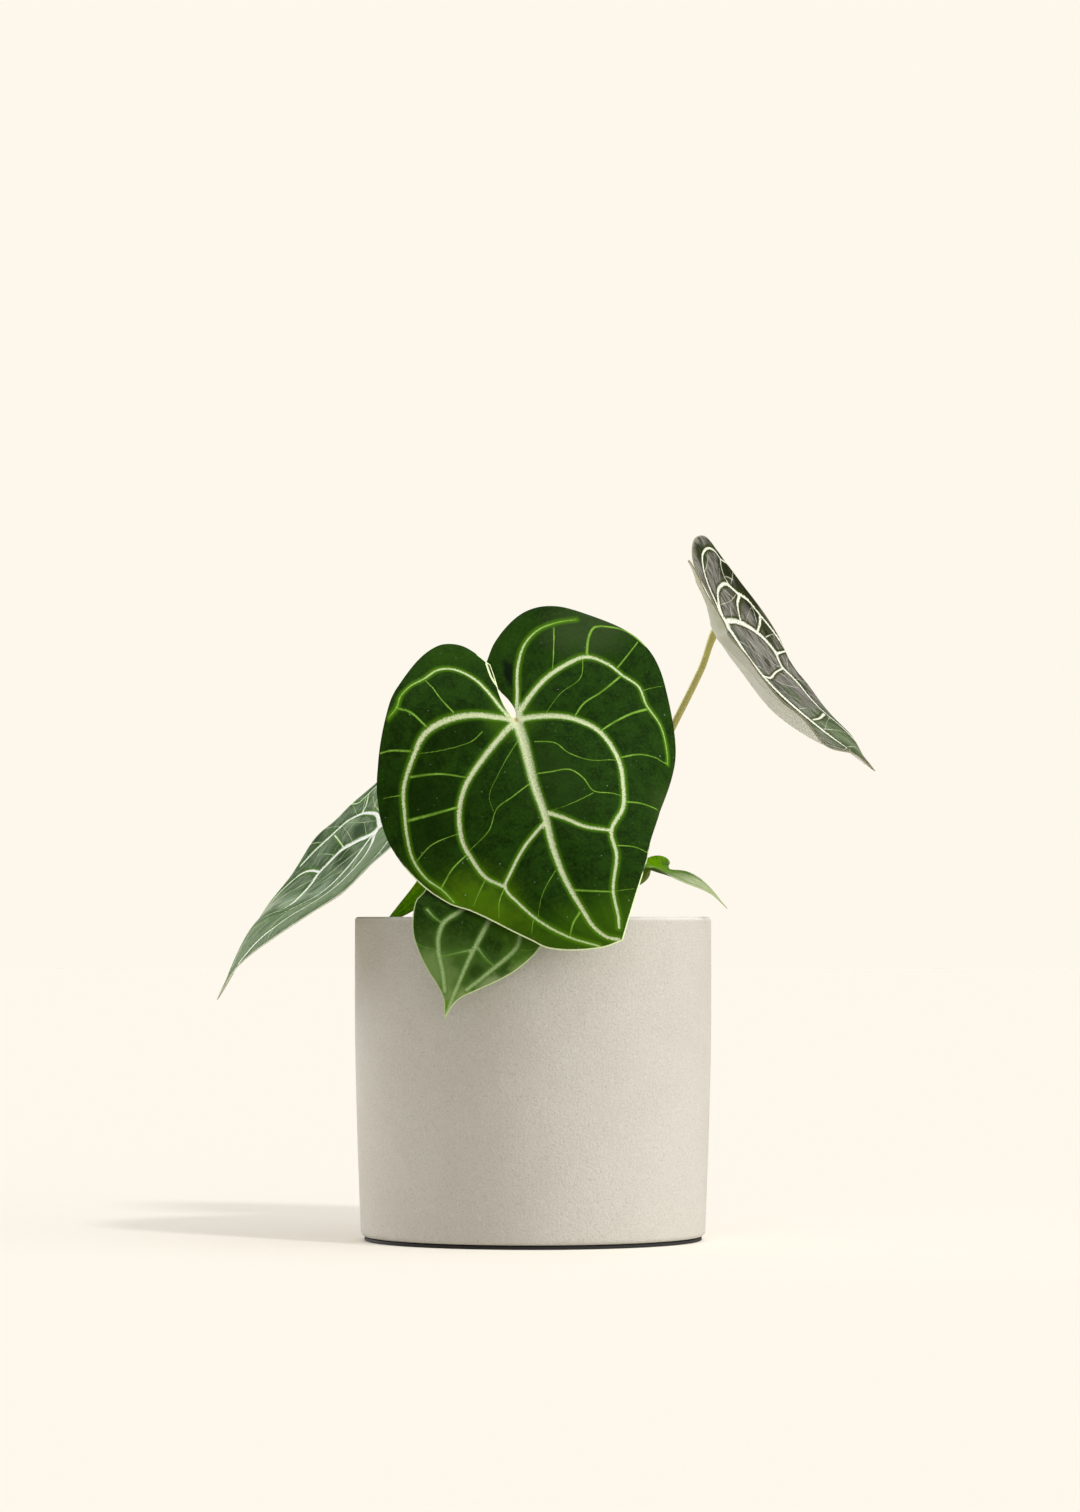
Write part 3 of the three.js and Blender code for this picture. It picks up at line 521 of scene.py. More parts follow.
def flat_leaf(leaf):
    """The leaf's flat drawing: points, their sides, triangles and the rim's loop of points."""
    length = leaf.get("length", leaf["right"]["margin"][-1][1])
    midline = smooth_path([(0, 0), (0, length / 2), (0, length)], RIM_STEP)
    parts = []
    for key in ("left", "right"):
        outline, tip = half_outline(leaf, key, midline)
        points, faces = fill(outline, leaf["spacing"])
        parts.append((points, faces, tip, len(outline)))
    (left, left_faces, left_tip, left_rim), (right, right_faces, right_tip, right_rim) = parts
    shared = {0: 0, right_tip: left_tip}
    for i in range(len(midline) - 2):
        shared[right_rim - 1 - i] = left_rim - 1 - i
    own = [i for i in range(len(right)) if i not in shared]
    index = np.zeros(len(right), int)
    index[own] = len(left) + np.arange(len(own))
    for i, target in shared.items():
        index[i] = target
    points = np.concatenate([left, right[own]])
    side = np.concatenate([np.full(len(left), -1.0), np.full(len(own), 1.0)])
    side[[0, left_tip, *range(left_rim - len(midline) + 2, left_rim)]] = 0
    faces = np.concatenate([left_faces, index[right_faces]])
    rim = np.concatenate([np.arange(left_tip + 1), index[np.arange(right_tip - 1, 0, -1)]])
    p, q, r = (points[faces[:, k]] for k in range(3))
    area = (q[:, 0] - p[:, 0]) * (r[:, 1] - p[:, 1]) - (q[:, 1] - p[:, 1]) * (r[:, 0] - p[:, 0])
    faces[area > 0] = faces[area > 0][:, ::-1]
    return points, side, faces, rim


def leaf_veins(leaf, rim_points, rng):
    """The main veins and the thin ones of a leaf."""
    mains = list(leaf["veins"])
    scale = leaf.get("length", FULL) / FULL
    if "length" in leaf:
        midrib = [(0, 0), (0, leaf["length"] / 2), (0, leaf["length"] - 0.6)]
        mains.insert(0, (3.0 * scale**0.6, 1.2 * scale**0.6, midrib))
    for key, chosen in leaf.get("template_veins", {}).items():
        for i in chosen:
            mains.append((2.2 * scale**0.6, 0.7 * scale**0.4, leaf[key]["veins"][i]))
    drawn = leaf.get("twigs") or side_twigs(mains, rim_points, 13, rng)
    twigs = [(width, width * 0.7, points) for width, points in drawn]
    return mains, twigs


def mesh_object(name, points, faces, materials, slots=None, smooth=True):
    """A mesh object from points in millimetres and triangles."""
    mesh = bpy.data.meshes.new(name)
    mesh.vertices.add(len(points))
    mesh.vertices.foreach_set("co", (np.asarray(points, float) * 0.001).ravel())
    mesh.loops.add(3 * len(faces))
    mesh.loops.foreach_set("vertex_index", np.asarray(faces).ravel())
    mesh.polygons.add(len(faces))
    mesh.polygons.foreach_set("loop_start", np.arange(len(faces)) * 3)
    for material in materials:
        mesh.materials.append(material)
    if slots is not None:
        mesh.polygons.foreach_set("material_index", slots)
    mesh.polygons.foreach_set("use_smooth", np.full(len(faces), smooth))
    mesh.update()
    mesh.validate()
    made = bpy.data.objects.new(name, mesh)
    bpy.context.scene.collection.objects.link(made)
    return made


def add_attribute(made, name, values):
    """A value or a vector at each vertex, for its material."""
    kind, key = ("FLOAT", "value") if values.ndim == 1 else ("FLOAT_VECTOR", "vector")
    made.data.attributes.new(name, kind, "POINT").data.foreach_set(key, np.ascontiguousarray(values).ravel())


def dress(made, node=None):
    """What a piece rides on, and the solid it replaces."""
    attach(made, "root")
    if node:
        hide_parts(node)


def ring_points(rows, sides):
    """A ring of points for each (radius, height)."""
    turn = np.linspace(0, 2 * math.pi, sides, endpoint=False)
    return [np.column_stack([r * np.cos(turn), r * np.sin(turn), np.full(sides, z)]) for r, z in rows]


def ring_faces(sides, rows):
    """Triangles between rings, and the fans from the first and the last ring to the two points after all."""
    k = np.arange(sides)
    after = (k + 1) % sides
    last = (rows - 1) * sides
    bands = []
    for low in range(0, last, sides):
        high = low + sides
        bands.append(np.column_stack([low + k, low + after, high + after]))
        bands.append(np.column_stack([low + k, high + after, high + k]))
    foot = np.column_stack([after, k, np.full(sides, rows * sides)])
    head = np.column_stack([last + k, last + after, np.full(sides, rows * sides + 1)])
    return bands, foot, head


def vein_field(offset):
    """The offset with a third part that keeps it long where it turns over between two veins."""
    reach = np.linalg.norm(offset, axis=1)
    short = offset * (np.minimum(reach, 6) / np.maximum(reach, 1e-6))[:, None]
    return np.column_stack([short, 3 * np.clip(reach - 1.2, 0, 3)])


def leaf_relief(leaf, points, side, to_rim, veins, twigs):
    """How high the two faces lie over the drawing: swollen skin, wavy rim, grooves above, ribs below."""
    vein, vein_half, vein_gap = veins
    twig, twig_half, _ = twigs
    r_vein = np.linalg.norm(vein, axis=1)
    r_twig = np.linalg.norm(twig, axis=1)
    relief = leaf["relief"]
    inner = 1 - np.exp(-to_rim / 8)
    swell = PUFF * relief * (1 - np.exp(-(np.maximum(vein_gap, 0) / 5.5) ** 1.5)) * inner
    height, beat = leaf["wave"]
    wave = height * np.clip(1 - to_rim / 40, 0, 1) ** 4 * np.sin(
        beat * (points[:, 1] + 0.4 * points[:, 0] * np.where(side == 0, 1, side)))
    skin = swell + wave
    groove = GROOVE * vein_half * relief * bell(r_vein, 1.1)
    fine = FINE_GROOVE * twig_half * bell(r_twig, 1.5) * smooth_step(r_vein, 0.8, 2)
    body = EDGE + BODY * (1 - np.exp(-to_rim / 3))
    lip = LIP * bell(to_rim, 1.0)
    top = skin - groove - fine + body - lip * 0.5
    rib = RIB * vein_half * relief * bell(r_vein, 1.0) + FINE_RIB * twig_half * bell(r_twig, 1.2)
    return top, np.minimum(skin * 0.9 - body - rib, top - 0.3)


def build_leaf(name, leaf, materials, rng):
    """A closed blade: upper face, a ring of points along the rim, lower face, and what its looks need."""
    points, side, faces, rim = flat_leaf(leaf)
    loop = points[rim]
    veins, twigs = (nearest_offset(points, *segments(paths)) for paths in leaf_veins(leaf, loop, rng))
    to_rim = np.sqrt(nearest_square(points, loop))
    top, under = leaf_relief(leaf, points, side, to_rim, veins, twigs)
    surface = Surface(leaf)

    def place(a, b, lift):
        both = [surface.place(np.full(len(a), s), a, b, lift) for s in (-1.0, 1.0)]
        chosen = np.where(side[:len(a), None] < 0, both[0], both[1])
        return np.where(side[:len(a), None] == 0, (both[0] + both[1]) / 2, chosen)

    a, b = points.T
    before, after = np.roll(loop, 1, axis=0), np.roll(loop, -1, axis=0)
    run = after - before
    outward = np.column_stack([-run[:, 1], run[:, 0]])
    outward /= np.maximum(np.linalg.norm(run, axis=1), 1e-6)[:, None]
    edge = loop + 0.06 * outward
    rim_side = np.where(side[rim] == 0, np.where(edge[:, 0] < 0, -1.0, 1.0), side[rim])
    middle = surface.place(rim_side, edge[:, 0], edge[:, 1], (top[rim] + under[rim]) / 2)
    upper, lower = place(a, b, top), place(a, b, under)
    count = len(points)
    ring = 2 * count + np.arange(len(rim))
    there, ring_next = np.roll(rim, -1), np.roll(ring, -1)
    strips = np.concatenate([
        np.column_stack([there, rim, ring]),
        np.column_stack([there, ring, ring_next]),
        np.column_stack([ring_next, ring, rim + count]),
        np.column_stack([ring_next, rim + count, there + count]),
    ])
    all_faces = np.concatenate([faces, strips, faces[:, ::-1] + count])
    slots = np.zeros(len(all_faces), int)
    slots[len(faces) + len(strips):] = 1
    made = mesh_object(f"{name}_skin", np.concatenate([upper, lower, middle]), all_faces, materials, slots)
    fields = {
        "vein": vein_field(veins[0]),
        "twig": vein_field(twigs[0]),
        "half": side,
        "flat": np.column_stack([points, np.zeros(count)]),
        "broad": np.clip(veins[1], 0, 2.5),
        "gap": np.clip(veins[2], -2.5, 12),
    }
    for key, values in fields.items():
        add_attribute(made, key, np.concatenate([values, values, values[rim]]))
    add_attribute(made, "rim", np.concatenate([to_rim, to_rim, np.zeros(len(rim))]))
    dress(made, f"{name}_blade")


# ---- petioles --------------------------------------------------------------------------------
def sweep(name, path, radii, sides, material):
    """A closed tube along a path with its own radius at each point."""
    path = np.asarray(path, float)
    run = np.gradient(path, axis=0)
    run /= np.linalg.norm(run, axis=1)[:, None]
    frame_x = np.cross(run[0], (0, 1, 0.2))
    frame_x /= np.linalg.norm(frame_x)
    turn = np.linspace(0, 2 * math.pi, sides, endpoint=False)
    rings = []
    for at, way, radius in zip(path, run, radii):
        frame_x = frame_x - way * frame_x.dot(way)
        frame_x /= np.linalg.norm(frame_x)
        frame_y = np.cross(way, frame_x)
        rings.append(at + np.outer(np.cos(turn), frame_x) * radius + np.outer(np.sin(turn), frame_y) * radius)
    count = len(path)
    points = np.concatenate(rings + [path[:1], path[-1:]])
    bands, foot, head = ring_faces(sides, count)
    made = mesh_object(name, points, np.concatenate([*bands, foot, head]), [material])
    along = np.concatenate([np.repeat(np.linspace(0, 1, count), sides), [0, 1]])
    add_attribute(made, "along", along)
    return made


def build_petiole(name, leaf, material):
    """A stalk a little stouter at its foot, with a swollen knee just below the blade."""
    surface = Surface(leaf)
    nought = np.zeros(1)
    joint = [surface.place(np.ones(1), nought, nought, np.array([lift]))[0] for lift in (-3.5, -0.9)]
    path = smooth_path([*leaf["petiole"], *joint], 1.0)
    up = np.arange(len(path))
    knee = bell(up - (len(path) - 1) + 5, 4.5)
    radii = 1.5 + 0.35 * np.exp(-up / 18) + 0.45 * knee
    dress(sweep(f"{name}_stalk", path, radii, 28, material), f"{name}_petiole")


# ---- materials -------------------------------------------------------------------------------
def srgb(*display):
    """A linear colour from 0-255 display values, a little below full white."""
    linear = []
    for v in display:
        v = v / 255
        linear.append(v / 12.92 if v <= 0.04045 else ((v + 0.055) / 1.055) ** 2.4)
    return (*[min(v, 0.95) for v in linear], 1.0)


class Look:
    """The nodes of a material or a world; each method adds a node and returns its output."""

    def __init__(self, name, kind="materials"):
        self.owner = getattr(bpy.data, kind).new(name)
        self.owner.use_nodes = True
        self.tree = self.owner.node_tree
        self.tree.nodes.clear()

    def node(self, kind, inputs, output=0, **settings):
        made = self.tree.nodes.new(kind)
        for key, value in settings.items():
            setattr(made, key, value)
        for key, value in inputs.items():
            if isinstance(value, bpy.types.NodeSocket):
                self.tree.links.new(value, made.inputs[key])
            elif value is not None:
                made.inputs[key].default_value = value
        return made.outputs[output] if made.outputs else None

    def attribute(self, name, output="Vector"):
        return self.node("ShaderNodeAttribute", {}, output, attribute_name=name)

    def place(self):
        return self.node("ShaderNodeTexCoord", {}, "Object")

    def math(self, operation, a, b, c=None):
        return self.node("ShaderNodeMath", {0: a, 1: b, 2: c}, operation=operation)

    def plus(self, a, b):
        return self.math("ADD", a, b)

    def times(self, a, b):
        return self.math("MULTIPLY", a, b)

    def vector(self, operation, a, b=None, output=0):
        return self.node("ShaderNodeVectorMath", {0: a, 1: b}, output, operation=operation)

    def length(self, a):
        return self.vector("LENGTH", a, output="Value")

    def split(self, a, part):
        return self.node("ShaderNodeSeparateXYZ", {0: a}, part)

    def step(self, value, low, high, start=0.0, end=1.0):
        """A smooth ramp from start at low to end at high."""
        return self.node(
            "ShaderNodeMapRange",
            {"Value": value, "From Min": low, "From Max": high, "To Min": start, "To Max": end},
            interpolation_type="SMOOTHSTEP",
        )

    def mix(self, share, a, b, blend="MIX"):
        return self.node("ShaderNodeMix", {0: share, 6: a, 7: b}, 2, data_type="RGBA", blend_type=blend)

    def lay(self, under, over, *ramp):
        """One colour over another by the share that step makes of ramp."""
        return self.mix(self.step(*ramp), under, over)

    def noise(self, where, scale, detail, roughness=0.5, distortion=0.0):
        return self.node("ShaderNodeTexNoise", {
            "Vector": where, "Scale": scale, "Detail": detail,
            "Roughness": roughness, "Distortion": distortion,
        })

    def swing(self, where, scale, detail, roughness):
        """Noise about zero."""
        return self.math("SUBTRACT", self.noise(where, scale, detail, roughness), 0.5)

    def bump(self, height, distance, strength):
        return self.node("ShaderNodeBump", {"Height": height, "Distance": distance, "Strength": strength})

    def surface(self, see_through=0.0, **inputs):
        """Principled surface; see_through is the share of light that passes through a leaf."""
        names = {key.replace("_", " "): value for key, value in inputs.items()}
        shader = self.node("ShaderNodeBsdfPrincipled", names)
        if see_through:
            behind = self.node("ShaderNodeBsdfTranslucent", {"Color": inputs["Base_Color"]})
            shader = self.node("ShaderNodeMixShader", {0: see_through, 1: shader, 2: behind})
        self.node("ShaderNodeOutputMaterial", {"Surface": shader})
        return self.owner


# Each leaf's colours as the display shows them, and how its upper face is marked:
#   sheen_colour  the grey of a painted sheen, a reflection, on the skin between the veins, if any
#   sheen    the most of the skin that the painted sheen covers
#   band     how far from a vein the painted sheen begins, mm
#   halo     strength of the bright green beside the veins
#   blur     how softly a vein ends, and how strongly it shows
#   gloss    specular level and roughness
#   patches  soft spots: centre (a, b), radii, colour, share; some are painted sheen, shadow or light, noted
#       at each leaf
#   rims     where the margin is pale: centre (a, b), radii, half (-1 left, 0 both)
LEAF_LOOKS = {}
LEAF_LOOKS["leaf_front"] = {
    "dark": (17, 38, 5), "mid": (29, 56, 9), "light": (44, 74, 14),
    "glow": (86, 136, 14), "vein": (206, 214, 172), "thin": (140, 184, 74), "edge": (238, 252, 196),
    "halo": 0.65, "blur": (0.45, 1), "gloss": (0.02, 0.5),
    "patches": [
        ((-54, 82), (30, 36), (86, 124, 10), 0.7), ((-16, 102), (44, 20), (62, 98, 10), 0.6),
        # painted sheen: the grey-green spots at (58, 62) and (46, -32)
        ((-68, 58), (12, 26), (62, 96, 3), 0.5), ((58, 62), (24, 22), (66, 86, 40), 0.7),
        ((46, -32), (26, 16), (62, 80, 44), 0.5), ((-28, -2), (26, 12), (16, 34, 3), 0.6),
        ((-12, -38), (40, 13), (44, 76, 8), 0.35), ((-2, 0), (15, 12), (64, 100, 16), 0.55),
        ((-50, 22), (20, 30), (18, 38, 4), 0.6), ((2, 34), (18, 30), (40, 64, 20), 0.4),
        # painted shadow: the near-black spot at (5.5, -20), where the left lobe shades the right one
        ((5.5, -20), (3.4, 13), (9, 20, 6), 0.9), ((-1.6, -8), (1.2, 8), (178, 174, 182), 0.9),
    ],
    "rims": [((-40, 95), (72, 66), 0), ((-1, -18), (8, 20), -1)],
}
LEAF_LOOKS["leaf_left"] = {
    # painted sheen: the grey sheen tone and the pale grey-green patches below; the dark green patches are the
    # skin's own tone
    "dark": (36, 60, 22), "mid": (60, 88, 40), "light": (98, 124, 78), "sheen_colour": (158, 174, 148),
    "glow": (96, 138, 54), "vein": (255, 255, 246), "thin": (206, 222, 180), "edge": (222, 224, 200),
    "sheen": 0.35, "band": 3, "halo": 0.6, "blur": (0.3, 1), "gloss": (0.01, 0.42),
    "patches": [
        ((24, 30), (27, 70), (132, 150, 116), 0.75), ((-12, 84), (36, 30), (142, 156, 126), 0.8),
        ((-42, 58), (16, 16), (178, 186, 164), 0.85), ((-20, 46), (15, 9), (155, 172, 144), 0.8),
        ((-34, 1), (9, 6), (140, 158, 124), 0.7), ((-54, -2), (9, 9), (132, 148, 114), 0.7),
        ((-18, -14), (9, 6), (140, 158, 110), 0.6), ((-6, 36), (7, 9), (140, 158, 134), 0.75),
        ((-42, 16), (7, 8), (114, 134, 100), 0.6), ((-18, 4), (13, 7), (40, 68, 22), 0.95),
        ((-15, 18), (14, 7), (38, 64, 20), 0.95), ((-30, 17), (8, 6), (58, 86, 36), 0.85),
        ((-54, 18), (7, 9), (54, 78, 40), 0.8), ((-20, 31), (7, 5), (84, 105, 70), 0.8),
    ],
    "rims": [((0, 30), (200, 200), 0)],
}
LEAF_LOOKS["leaf_tall"] = {
    # painted sheen: the grey-violet sheen tone over the skin between the veins
    "dark": (38, 40, 18), "mid": (62, 64, 40), "light": (96, 98, 80), "sheen_colour": (134, 130, 124),
    "glow": (56, 66, 20), "vein": (236, 236, 222), "thin": (206, 208, 188), "edge": (150, 146, 118),
    "sheen": 0.85, "band": 1.6, "halo": 0.85, "blur": (0.3, 1), "gloss": (0.02, 0.4),
    "patches": [
        ((-34, 10), (46, 70), (50, 66, 36), 0.75),
        ((33, -15), (17, 11), (30, 34, 8), 0.95), ((39, -1), (11, 17), (34, 38, 12), 0.95),
        ((25, -2), (8, 7), (58, 60, 34), 0.7), ((12, -29), (7, 7), (38, 50, 18), 0.9),
        ((32, -28), (16, 6), (58, 62, 34), 0.7), ((38, 12), (8, 8), (46, 50, 24), 0.85),
        ((12, 70), (34, 22), (84, 104, 60), 0.7), ((12, 42), (9, 9), (86, 100, 68), 0.6),
        ((4, 66), (5, 26), (128, 140, 112), 0.4),
    ],
    "rims": [((0, 30), (200, 200), 0)],
}
LEAF_LOOKS["leaf_low"] = {
    "dark": (20, 42, 4), "mid": (32, 56, 10), "light": (54, 82, 24),
    "glow": (76, 116, 34), "vein": (176, 198, 140), "thin": (104, 142, 64), "edge": (190, 204, 150),
    "halo": 0.5, "blur": (1.1, 0.7), "gloss": (0.02, 0.45),
    "patches": [
        # painted light: the spots at (6, 37) and (22, 44) lift the shade that leaf_front casts here; painted
        # sheen: the pale grey-green spots at (-12, 68), (17, 66), (26, 55) and (4, 75)
        ((6, 37), (20, 11), (64, 102, 24), 0.75), ((22, 44), (14, 14), (88, 128, 40), 0.6),
        ((-2, 64), (36, 16), (66, 94, 36), 0.8), ((-12, 68), (14, 10), (116, 142, 80), 0.7),
        ((17, 66), (14, 9), (134, 154, 102), 0.8), ((26, 55), (12, 12), (130, 156, 88), 0.7),
        ((5, 62), (5, 4.5), (38, 62, 16), 0.85), ((4, 75), (12, 7), (134, 156, 92), 0.75),
        ((-1, 84), (6, 8), (96, 146, 26), 0.95),
    ],
    "rims": [((0, 30), (200, 200), 0)],
}
LEAF_LOOKS["leaf_new"] = {
    # painted sheen: the pale grey-green sheen tone and the spot at (0, 28); painted light: the bright green
    # spot at (0, -3), light shining through the leaf's base
    "dark": (50, 90, 0), "mid": (66, 108, 0), "light": (90, 132, 12), "sheen_colour": (180, 188, 150),
    "glow": (100, 140, 24), "vein": (186, 200, 146), "thin": (140, 166, 84), "edge": (190, 200, 150),
    "sheen": 0.25, "band": 1, "halo": 0.3, "blur": (0.5, 0.4), "gloss": (0, 0.45),
    "patches": [((0, 28), (30, 17), (180, 188, 150), 0.95), ((0, -3), (24, 17), (98, 146, 0), 0.98)],
    "rims": [((0, 34), (40, 20), 0)],
}
LEAF_LOOKS["leaf_back"] = {
    # its bright green is partly the young leaf's own tone and partly painted light shining through it
    "dark": (88, 148, 0), "mid": (100, 164, 0), "light": (116, 180, 10),
    "glow": (120, 176, 10), "vein": (170, 206, 80), "thin": (130, 178, 40), "edge": (120, 106, 44),
    "halo": 0.3, "blur": (0.5, 0.6), "gloss": (0, 0.5),
    "patches": [((-14, 14), (8, 12), (130, 150, 10), 0.5)],
    "rims": [((0, 30), (200, 200), 0)],
}
# An underside's skin at its tip and at its base, its ribs and its rim.
UNDER_LOOKS = {
    kind: dict(zip(("skin", "deep", "rib", "edge"), tones))
    for kind, tones in {
        "deep": ((130, 158, 98), (100, 130, 70), (178, 194, 142), (150, 138, 88)),
        # the silver skin is lighter at the tip than at the base: painted light where the blade lies in shade
        "silver": ((249, 249, 238), (212, 212, 188), (222, 222, 202), (134, 118, 68)),
        "fresh": ((120, 156, 66), (98, 140, 48), (170, 190, 116), (150, 160, 90)),
    }.items()
}


def leaf_face(name, tones):
    """The upper face: velvet skin, pale grainy veins with a bright halo, thin green ones, a rim."""
    look = Look(name)
    tone = {key: srgb(*tones[key]) for key in ("dark", "mid", "light", "glow", "vein", "thin", "edge")}
    flat = look.attribute("flat")
    gap = look.attribute("gap", "Fac")
    broad = look.attribute("broad", "Fac")
    grain = look.swing(flat, 1.4, 3, 0.75)
    soft = look.swing(flat, 0.15, 3, 0.55)
    pile = look.noise(flat, 0.7, 5, 0.75)
    streak = look.noise(look.vector("MULTIPLY", flat, (0.6, 0.1, 1)), 1.0, 5, 0.65, 0.6)

    def spot(centre, radii, low, high, share=1.0):
        """A soft-edged ellipse of strength share."""
        away = look.vector("DIVIDE", look.vector("SUBTRACT", flat, (*centre, 0)), (*radii, 1))
        reach = look.plus(look.length(away), look.times(soft, 0.8))
        return look.step(reach, low, high, share, 0)

    skin = look.lay(tone["dark"], tone["mid"], soft, -0.16, 0.14)
    skin = look.lay(skin, tone["light"], pile, 0.4, 0.7, 0, 0.6)
    # painted sheen: a grey reflection laid in streaks over the skin between the veins, brighter in spots
    if "sheen_colour" in tones:
        open_skin = look.step(look.plus(gap, soft), 0.2 * tones["band"], tones["band"])
        share = look.times(look.step(streak, 0.34, 0.6, 0.15, tones["sheen"]), open_skin)
        bright_sheen = srgb(*[1.25 * v for v in tones["sheen_colour"]])
        sheen_colour = look.lay(srgb(*tones["sheen_colour"]), bright_sheen, look.noise(flat, 0.8, 5, 0.75), 0.48, 0.7, 0, 0.6)
        skin = look.mix(share, skin, sheen_colour)
    for centre, radii, colour, share in tones["patches"]:
        skin = look.mix(spot(centre, radii, 0.35, 1.05, share), skin, srgb(*colour))
    # painted shade: the skin is darkened in the streaks that the painted sheen leaves bare
    if "sheen_colour" in tones:
        streak_shade = look.mix(1.0, skin, (0.4, 0.46, 0.36, 1), "MULTIPLY")
        skin = look.lay(skin, streak_shade, streak, 0.34, 0.56, 0.8, 0)

    blur, strength = tones["blur"]
    twig = look.plus(look.length(look.attribute("twig")), look.times(grain, 2.4))
    skin = look.lay(skin, tone["glow"], twig, 1.0, 3.6, 0.5 * tones["halo"], 0)
    core = look.step(twig, 0.9 - blur, 1.1 + blur, 0.8 * strength, 0)
    fade = look.step(look.noise(flat, 0.12, 2), 0.36, 0.6, 0.45, 1.0)
    skin = look.mix(look.times(core, fade), skin, tone["thin"])
    skin = look.lay(skin, tone["glow"], look.plus(gap, look.times(grain, 1.2)), -0.2, 1.9, tones["halo"], 0)
    pale = look.lay(tone["thin"], tone["vein"], broad, 0.25, 0.55)
    pale = look.lay(pale, tone["glow"], look.noise(flat, 1.3, 3, 0.8), 0.48, 0.64, 0, 0.6)
    fray = look.math("DIVIDE", look.times(grain, 2.6), look.math("MAXIMUM", broad, 0.9))
    main = look.plus(look.length(look.attribute("vein")), fray)
    skin = look.lay(skin, pale, main, 0.9 - blur, 1.0 + blur, strength, 0)
    star = look.plus(look.length(flat), look.times(grain, 4.0))
    skin = look.lay(skin, tone["vein"], star, 1.6, 4.4, 0.75 * strength**3, 0)
    skin = look.lay(skin, srgb(204, 162, 104), look.length(flat), 0.5, 1.2, 0.8 * strength**3, 0)

    rim = look.plus(look.attribute("rim", "Fac"), look.times(grain, 0.4))
    line = look.step(rim, 0.25, 0.6, 0.95, 0)
    where = 0.0
    for centre, radii, side in tones["rims"]:
        share = spot(centre, radii, 0.8, 1.0)
        if side:
            share = look.times(share, look.step(look.times(look.attribute("half", "Fac"), side), 0, 0.5))
        where = look.math("MAXIMUM", share, where)
    skin = look.mix(look.times(line, where), skin, tone["edge"])
    skin = look.lay(skin, srgb(190, 200, 190), look.noise(flat, 0.9, 1), 0.77, 0.8, 0, 0.6)

    height = look.plus(look.times(grain, 0.6), look.times(pile, 0.5))
    level, rough = tones["gloss"]
    return look.surface(
        see_through=0.12,
        Base_Color=skin,
        Roughness=look.step(streak, 0.3, 0.7, rough - 0.06, rough + 0.1),
        Normal=look.bump(height, 0.0002, 0.5),
        Specular_IOR_Level=level,
    )


def leaf_underside(name, tones):
    """The lower face: matt and pale, with low ribs and a browned rim."""
    look = Look(name)
    tone = {key: srgb(*value) for key, value in tones.items()}
    flat = look.attribute("flat")
    grain = look.swing(flat, 1.6, 3, 0.6)
    main = look.plus(look.length(look.attribute("vein")), look.times(grain, 0.5))
    twig = look.plus(look.length(look.attribute("twig")), look.times(grain, 0.9))
    rim = look.plus(look.attribute("rim", "Fac"), look.times(grain, 0.6))
    cloud = look.noise(look.vector("MULTIPLY", flat, (0.22, 0.06, 1)), 1.0, 4, 0.6)
    along = look.math("MULTIPLY_ADD", cloud, 30, look.split(flat, 1))
    # lighter towards the tip; on the silver underside this is painted light where the blade lies in shade
    skin = look.lay(tone["deep"], tone["skin"], along, -10, 65)
    skin = look.lay(skin, tone["rib"], twig, 0.6, 2.0, 0.25, 0)
    skin = look.lay(skin, tone["rib"], main, 0.7, 1.5, 0.8, 0)
    skin = look.lay(skin, tone["edge"], rim, 0.3, 0.9, 0.85, 0)
    return look.surface(
        see_through=0.3,
        Base_Color=skin,
        Roughness=0.55,
        Normal=look.bump(look.noise(flat, 1.4, 4, 0.65), 0.00005, 0.3),
        Specular_IOR_Level=0.1,
    )


def petiole_look(name, low, high):
    """Darker low down, paler under the blade, with faint lengthwise streaks."""
    look = Look(name)
    where = look.place()
    along = look.attribute("along", "Fac")
    streak = look.noise(look.vector("MULTIPLY", where, (500, 500, 40)), 1.0, 3, 0.6)
    foot, head = (look.mix(streak, srgb(*[0.84 * v for v in tone]), srgb(*tone)) for tone in (low, high))
    return look.surface(
        Base_Color=look.lay(foot, head, along, 0.5, 1.0),
        Roughness=0.42,
        Normal=look.bump(streak, 0.0002, 0.4),
        Specular_IOR_Level=0.45,
    )


def stoneware_look():
    """Warm grey clay with a fine sandy grain."""
    look = Look("sandy_stoneware")
    where = look.place()
    grain = look.noise(where, 900, 3, 0.7)
    sand = look.noise(where, 1300, 3, 0.75)
    cloud = look.noise(where, 14, 4, 0.6)
    colour = look.lay(srgb(193, 188, 178), srgb(199, 195, 186), cloud, 0.3, 0.7)
    colour = look.lay(colour, srgb(150, 145, 135), sand, 0.5, 0.7, 0, 0.5)
    colour = look.lay(colour, srgb(218, 214, 204), grain, 0.5, 0.75, 0, 0.45)
    # the lip, painted pale from 134 mm up: a painted highlight along its rounded top
    colour = look.lay(colour, srgb(246, 242, 232), look.split(where, 2), 0.134, 0.1356, 0, 0.5)
    height = look.plus(grain, look.times(sand, 0.8))
    return look.surface(
        Base_Color=colour, Roughness=0.75, Normal=look.bump(height, 0.0006, 0.8), Specular_IOR_Level=0.25)


def rubber_look():
    """Black rubber, a little dusty."""
    look = Look("pad_rubber")
    where = look.place()
    grain = look.noise(where, 1200, 3)
    colour = look.mix(grain, srgb(14, 14, 14), srgb(36, 35, 33))
    return look.surface(Base_Color=colour, Roughness=0.8, Normal=look.bump(grain, 0.0001, 0.6))


